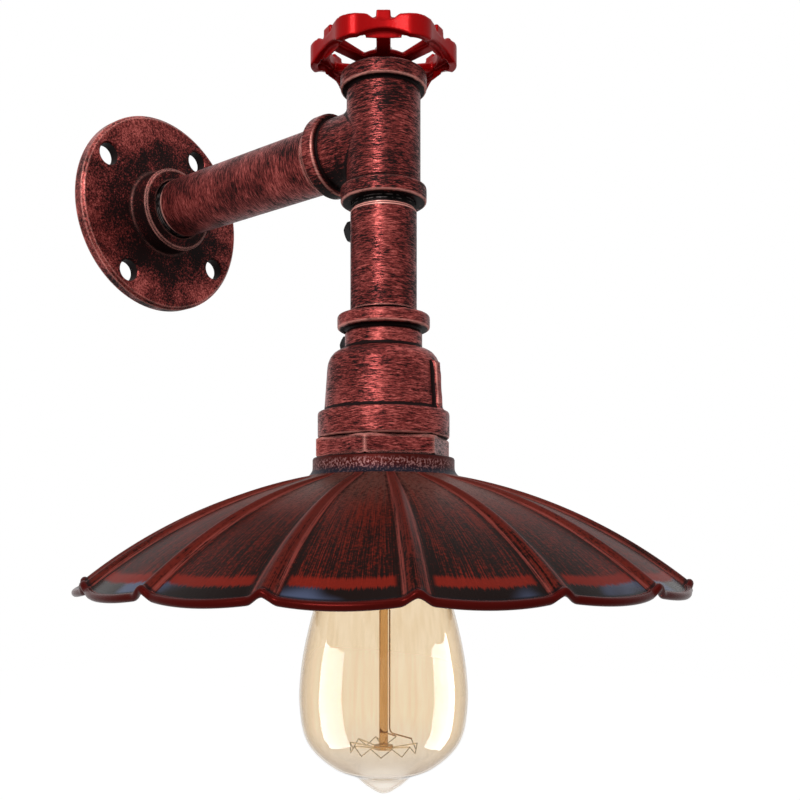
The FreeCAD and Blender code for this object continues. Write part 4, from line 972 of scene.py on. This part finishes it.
@dataclass
class Shade(Assembly):
    """Pressed umbrella shade with raised ribs, sunk panels and a rolled lip.

    Its sheet has a map "sheet" with the way from a rib's crest (0) over its foot (1) to the middle of
    the panel (2), and the way down: 0 at the neck, 1 at the lip and up to 2 round the lip.
    """

    ribs: int = 16
    sheet: float = 1.0
    neck_r: float = 31.0
    rim_r: float = 117.65
    neck_z: float = -136.5
    top_z: float = -129.0
    collar_r: float = 28.7
    collar_edge: tuple[tuple[float, float], ...] = (    # its rounded top, from collar_r and top_z
        (-0.8, 0.0), (-0.3, -0.15), (0.0, -0.8),
    )
    collar_foot: tuple[tuple[float, float], ...] = (    # its hollow foot, from collar_r and neck_z
        (0.0, 3.4), (0.15, 2.4), (0.7, 1.4), (1.4, 0.5),
    )
    collar_place: float = -0.1    # what the sheet's map says on the collar
    hole_r: float = 21.1
    curve_r: float = 200.0
    start: float = math.radians(11.0)
    rib_rise: float = 2.4
    rib_half_neck: float = 2.0
    rib_half_rim: float = 5.2
    lobe_reach: float = 3.0
    lip_r: float = 1.5
    lip_wrap: float = 1.8         # how far the lip is rolled; 2 would close it
    rib_columns: int = 7
    panel_columns: int = 9
    slope_rows: int = 40
    lip_rows: int = 12
    seam: float = 0.004           # points of two sectors closer than this become one

    def half_rib(self, share: float, r: float) -> float:
        """Returns half a rib's width as a share of half a sector, by the way down and the radius."""
        half = self.rib_half_neck + (self.rib_half_rim - self.rib_half_neck) * share
        return half / (r * math.pi / self.ribs)

    def rows(self) -> list[Row]:
        """Lays out the lines round the sheet.

        Returns:
            The lines from the hole, over the collar and down the slope, round the lip.
        """
        rows = [Row(self.hole_r, self.top_z, self.start, self.collar_place)]
        for base, spots in ((self.top_z, self.collar_edge), (self.neck_z, self.collar_foot)):
            for out, up in spots:
                rows.append(Row(self.collar_r + out, base + up, self.start, self.collar_place))
        rim = math.asin(math.sin(self.start) + (self.rim_r - self.neck_r) / self.curve_r)
        for i in range(self.slope_rows + 1):
            share = i / self.slope_rows
            tilt = self.start + (rim - self.start) * share
            r = self.neck_r + self.curve_r * (math.sin(tilt) - math.sin(self.start))
            z = self.neck_z - self.curve_r * (math.cos(self.start) - math.cos(tilt))
            rows.append(Row(r, z, tilt, share))
        last = rows[-1]
        lip_open = math.asin(self.sheet / 2 / self.lip_r)
        for i in range(1, self.lip_rows + 1):
            turn = (math.pi - lip_open) * (1 - self.lip_wrap * i / self.lip_rows)
            depth = self.sheet / 2 - self.lip_r * math.sin(turn)
            along = self.lip_r * (math.cos(lip_open) + math.cos(turn))
            rows.append(Row(last.r, last.z, rim, 1.0 + i / self.lip_rows, depth, along))
        return rows

    def point(self, row: Row, column: float) -> tuple[Vector, Vector]:
        """Finds a point of the sheet.

        Args:
            row: The line round the sheet that it lies on.
            column: 0 on a rib's crest, 1 at its foot, 2 in the middle of the panel.

        Returns:
            The point in metres, and its place on the sheet for the paint.
        """
        share = max(0.0, (row.r - self.neck_r) / (self.rim_r - self.neck_r))
        half = self.half_rib(share, row.r)
        side = half * column if column < 1 else half + (1 - half) * (column - 1)
        crest = 0.5 + 0.5 * math.cos(math.pi * min(1.0, column))
        run = row.along + self.lobe_reach * share ** 3 * (1 - (1 - side) ** 2)
        sink = row.depth + self.rib_rise * math.sin(math.pi / 2 * math.sqrt(share)) * (1 - crest)
        r = row.r + run * math.cos(row.tilt) - sink * math.sin(row.tilt)
        z = row.z - run * math.sin(row.tilt) - sink * math.cos(row.tilt)
        angle = math.pi / self.ribs * side
        spot = Vector((r * math.cos(angle) * MM, r * math.sin(angle) * MM + LAMP_Y, z * MM))
        return spot, Vector((column, row.place))

    def build(self) -> None:
        """Makes half a sector of the sheet, mirrors it, repeats it round the axis and thickens it."""
        rows = self.rows()
        columns = self.rib_columns + self.panel_columns
        mesh = bmesh.new()
        bmesh.ops.create_grid(mesh, x_segments=len(rows) - 1, y_segments=columns, size=0.5)
        sheet = mesh.loops.layers.uv.new("sheet")
        places = {}
        for vert in mesh.verts:
            row = rows[round((vert.co.x + 0.5) * (len(rows) - 1))]
            step = (vert.co.y + 0.5) * columns
            on_rib = step / self.rib_columns
            column = on_rib if on_rib < 1 else 1 + (step - self.rib_columns) / self.panel_columns
            vert.co, places[vert.index] = self.point(row, column)
        for face in mesh.faces:
            for loop in face.loops:
                loop[sheet].uv = places[loop.vert.index]
        parts = mesh.verts[:] + mesh.edges[:] + mesh.faces[:]
        about = Matrix.Translation((0.0, -LAMP_Y, 0.0))
        bmesh.ops.mirror(mesh, geom=parts, matrix=about, axis="Y", merge_dist=SAME_SPOT)
        parts = mesh.verts[:] + mesh.edges[:] + mesh.faces[:]
        turn = 2 * math.pi * (self.ribs - 1) / self.ribs
        bmesh.ops.spin(mesh, geom=parts, cent=(0.0, LAMP_Y, 0.0), axis=(0.0, 0.0, 1.0), angle=turn,
                       steps=self.ribs - 1, use_duplicate=True)
        bmesh.ops.remove_doubles(mesh, verts=mesh.verts, dist=self.seam * MM)
        bmesh.ops.recalc_face_normals(mesh, faces=mesh.faces)
        bmesh.ops.solidify(mesh, geom=mesh.faces, thickness=self.sheet * MM)
        self.put("shade_sheet", mesh, ("shade",), "shade_paint", crease=50.0)
        self.smooth_copy("shade_ring", "black_steel")

    def dress(self) -> None:
        """Paints the sheet and blackens the ring."""
        self.paint("shade_sheet", SHADE_PAINT)
        self.paint("shade_ring_skin", BLACK_STEEL)


@dataclass
class Holder(Assembly):
    """Porcelain bulb holder with its brass parts."""

    def build(self) -> None:
        """Keeps the frame's own shapes."""

    def dress(self) -> None:
        """Dresses porcelain, brass and screws."""
        self.paint("holder_body", PORCELAIN)
        for name in ("holder_sleeve", "holder_tongue", "holder_posts"):
            self.paint(name, BRASS)
        self.paint("holder_screws", PLAIN_STEEL)


@dataclass
class Wiring(Assembly):
    """The wires inside the pipes."""

    def build(self) -> None:
        """Smooths the four wires."""
        for name, slot in (("wire_live", "wire_brown"), ("wire_switched", "wire_brown"),
                           ("wire_neutral", "wire_blue"), ("wire_earth", "wire_green")):
            self.smooth_copy(name, slot)

    def dress(self) -> None:
        """Colours the wires."""
        self.paint("wire_live_skin", BROWN_WIRE)
        self.paint("wire_switched_skin", BROWN_WIRE)
        self.paint("wire_neutral_skin", BLUE_WIRE)
        self.paint("wire_earth_skin", GREEN_WIRE)


@dataclass
class Bulb(Assembly):
    """Pear-shaped amber bulb with its stem and filament."""

    radius: float = 34.0
    shoulder_z: float = -146.6
    tip_z: float = -264.3
    neck_r: float = 12.65
    neck_top: float = -135.6
    neck_round: float = 0.6       # the neck's straight part ends this far above the shoulder
    wall: float = 0.8
    outline: tuple[tuple[float, float], ...] = (   # radius and height, as shares of the pear's own
        (0.408, 1.0), (0.52, 0.89), (0.865, 0.6), (0.985, 0.42), (1.0, 0.31), (0.9, 0.178), (0.62, 0.098),
        (0.33, 0.0586), (0.2, 0.028), (0.0, 0.0),
    )
    steps: int = 10               # points of the line between two of the outline
    around: int = 96

    def line(self) -> list[Vector]:
        """Draws the smooth outer line of the glass.

        Returns:
            Its points from the neck to the tip, in millimetres.
        """
        span = self.shoulder_z - self.tip_z
        spots = [Vector((self.radius * out, 0.0, self.tip_z + span * up)) for out, up in self.outline]
        gaps = [(b - a).length for a, b in zip(spots, spots[1:])]
        ways = [(b - a) / gap for a, b, gap in zip(spots, spots[1:], gaps)]
        leans = [ways[0]]
        for i in range(1, len(spots) - 1):
            leans.append((ways[i - 1] * gaps[i] + ways[i] * gaps[i - 1]) / (gaps[i - 1] + gaps[i]))
        leans.append(Vector((-1.0, 0.0, 0.0)))
        line = [Vector((self.neck_r, 0.0, self.neck_top))]
        line.append(Vector((self.neck_r, 0.0, self.shoulder_z + self.neck_round)))
        for i, gap in enumerate(gaps):
            first, last = spots[i], spots[i + 1]
            handles = (first, first + leans[i] * gap / 3, last - leans[i + 1] * gap / 3, last)
            line += interpolate_bezier(*handles, self.steps + 1)[:-1]
        return line + [spots[-1]]

    def blow(self) -> None:
        """Turns the outer line round the lamp's axis and gives the glass its thin wall."""
        mesh = bmesh.new()
        verts = [mesh.verts.new(spot * MM + Vector((0.0, LAMP_Y, 0.0))) for spot in self.line()]
        edges = [mesh.edges.new(pair) for pair in zip(verts, verts[1:])]
        bmesh.ops.spin(mesh, geom=verts + edges, cent=(0.0, LAMP_Y, 0.0), axis=(0.0, 0.0, 1.0),
                       angle=2 * math.pi, steps=self.around, use_merge=True)
        bmesh.ops.remove_doubles(mesh, verts=mesh.verts, dist=SAME_SPOT)
        bmesh.ops.recalc_face_normals(mesh, faces=mesh.faces)
        bmesh.ops.solidify(mesh, geom=mesh.faces, thickness=self.wall * MM)
        self.put("bulb_envelope", mesh, ("bulb_glass",), "amber_glass", crease=50.0)

    def build(self) -> None:
        """Makes the glass and what is seen through it."""
        self.blow()
        self.smooth_copy("bulb_stem", "clear_glass", crease=60.0)
        for name in ("bulb_leads", "bulb_supports", "bulb_filament"):
            self.smooth_copy(name, "fine_wire", crease=60.0)
        self.smooth_copy("bulb_cap", "cap_brass")

    def dress(self) -> None:
        """Gives glass, brass and wires their finishes."""
        self.paint("bulb_envelope", AMBER_GLASS)
        self.paint("bulb_stem_skin", ROD_GLASS)
        self.paint("bulb_leads_skin", LEAD_WIRE)
        self.paint("bulb_supports_skin", PALE_WIRE)
        self.paint("bulb_filament_skin", FINE_WIRE)
        self.paint("bulb_cap_skin", CAP_BRASS)
        self.paint("bulb_contact", CAP_BRASS)
        self.paint("bulb_insulator", BLACK_GLASS)


@dataclass(frozen=True)
class SoftBox:
    """One soft light, placed by its direction as seen from the lamp."""

    name: str
    turn: float                   # degrees to the left of the camera
    rise: float                   # degrees above the level
    away: float                   # metres
    size: tuple[float, float]     # width and height in metres
    power: float                  # watts
    glass_only: bool = False      # mirrored by the bulb's glass, and lights nothing else


@dataclass
class Studio:
    """Pale floor, white surround, soft lights and the camera."""

    floor_z: float = -1.3
    floor_size: float = 16.0
    floor_grey: float = 0.8
    floor_glow: float = 0.8       # seen by the camera, in mirrors and through glass
    surround_light: float = 0.25
    lights: tuple[SoftBox, ...] = (
        SoftBox("key", turn=20.0, rise=28.0, away=1.3, size=(0.45, 0.45), power=13.0),
        SoftBox("top", turn=-30.0, rise=80.0, away=1.2, size=(0.8, 0.8), power=2.5),
        SoftBox("left_strip", 76.0, -10.0, 1.3, size=(0.9, 2.4), power=220.0, glass_only=True),
        SoftBox("right_strip", -90.0, -10.0, 1.3, size=(0.9, 2.4), power=220.0, glass_only=True),
    )
    aim: Vector = field(default_factory=lambda: Vector((0.0, LAMP_Y, -0.12)))
    eye: Vector = field(default_factory=lambda: Vector((-0.3126, -0.4117, -0.1638)))
    lens: float = 45.46
    sensor: float = 36.0
    shift: tuple[float, float] = (0.0205, 0.181)
    azimuth: float = -49.85

    def build(self) -> None:
        """Sets up the stage, the lights and the camera."""
        self.floor()
        self.surround()
        glass = bpy.data.collections.new("glass")
        glass.objects.link(bpy.data.objects["bulb_envelope"])
        for box in self.lights:
            light = self.hang(box)
            if box.glass_only:
                light.light_linking.receiver_collection = glass
                light.visible_transmission = False
        self.camera()

    def way(self, turn: float, rise: float) -> Vector:
        """Finds the direction from the lamp to a place in the studio.

        Args:
            turn: Degrees to the left of the camera, as seen from the lamp.
            rise: Degrees above the level.

        Returns:
            The direction.
        """
        toward = (self.eye - self.aim).to_2d().normalized().to_3d()
        toward.rotate(Matrix.Rotation(math.radians(-turn), 3, "Z"))
        return toward * math.cos(math.radians(rise)) + Vector((0.0, 0.0, math.sin(math.radians(rise))))

    def hang(self, box: SoftBox) -> bpy.types.Object:
        """Hangs a soft box that faces the bulb holder.

        Args:
            box: Its place, size and power.

        Returns:
            The light.
        """
        data = bpy.data.lights.new(box.name, "AREA")
        data.shape = "RECTANGLE"
        data.size, data.size_y = box.size
        data.energy = box.power
        light = bpy.data.objects.new(box.name, data)
        way = self.way(box.turn, box.rise)
        light.location = self.aim + way * box.away
        light.rotation_euler = (-way).to_track_quat("-Z", "Y").to_euler()
        bpy.context.scene.collection.objects.link(light)
        return light

    def seen(self, tree: bpy.types.NodeTree) -> Socket:
        """Finds the rays that show the background itself: camera, mirror and glass.

        Args:
            tree: The node tree that asks.

        Returns:
            1 for such a ray and 0 for others.
        """
        path = tree.nodes.new("ShaderNodeLightPath")
        share = path.outputs["Is Camera Ray"]
        for name in ("Is Glossy Ray", "Is Transmission Ray"):
            most = tree.nodes.new("ShaderNodeMath")
            most.operation = "MAXIMUM"
            tree.links.new(share, most.inputs[0])
            tree.links.new(path.outputs[name], most.inputs[1])
            share = most.outputs[0]
        return share

    def floor(self) -> None:
        """Lays a pale floor that keeps the lamp's shadow."""
        mesh = bmesh.new()
        turn = Matrix.Translation((0.0, 0.0, self.floor_z))
        bmesh.ops.create_grid(mesh, x_segments=1, y_segments=1, size=self.floor_size / 2, matrix=turn)
        data = bpy.data.meshes.new("floor")
        mesh.to_mesh(data)
        mesh.free()
        floor = bpy.data.objects.new("floor", data)
        bpy.context.scene.collection.objects.link(floor)
        graph = Graph("pale_floor")
        matt = graph.add("BsdfDiffuse", None, {"Color": (self.floor_grey,) * 3})
        glow = graph.times(self.seen(graph.tree), self.floor_glow)
        white = graph.add("Emission", None, {"Color": (1.0, 1.0, 1.0), "Strength": glow})
        both = graph.add("AddShader", None, {0: matt.outputs[0], 1: white.outputs[0]})
        data.materials.append(graph.finish(both))

    def surround(self) -> None:
        """Makes the surround white to the eye and softer as a light."""
        world = bpy.data.worlds.new("surround")
        bpy.context.scene.world = world
        world.use_nodes = True
        tree = world.node_tree
        sky = tree.nodes["Background"]
        level = tree.nodes.new("ShaderNodeMapRange")
        tree.links.new(self.seen(tree), level.inputs[0])
        level.inputs[3].default_value = self.surround_light
        level.inputs[4].default_value = 1.0
        sky.inputs["Color"].default_value = (1.0, 1.0, 1.0, 1.0)
        tree.links.new(level.outputs[0], sky.inputs["Strength"])

    def camera(self) -> None:
        """Places the camera of the reference view."""
        data = bpy.data.cameras.new("eye")
        data.lens = self.lens
        data.sensor_width = self.sensor
        data.sensor_fit = "HORIZONTAL"
        data.shift_x, data.shift_y = self.shift
        data.clip_start = 0.01
        eye = bpy.data.objects.new("eye", data)
        eye.location = self.eye
        eye.rotation_euler = (math.pi / 2, 0.0, math.radians(self.azimuth))
        bpy.context.scene.collection.objects.link(eye)
        bpy.context.scene.camera = eye


def main() -> None:
    """Builds the lamp group by group, reports each piece and sets up the studio."""
    logging.basicConfig(level=logging.INFO, format="%(message)s")
    scene = bpy.context.scene
    scene.view_settings.view_transform = "Standard"
    groups = (
        WallMount("lamp"), TeeHead("lamp"), Wheel("wheel"), Drop("lamp"), Shade("lamp"),
        Holder("lamp"), Wiring("lamp"), Bulb("bulb"),
    )
    for group in groups:
        group.build()
        group.dress()
        group.report()
    Studio().build()


if __name__ == "__main__":
    main()
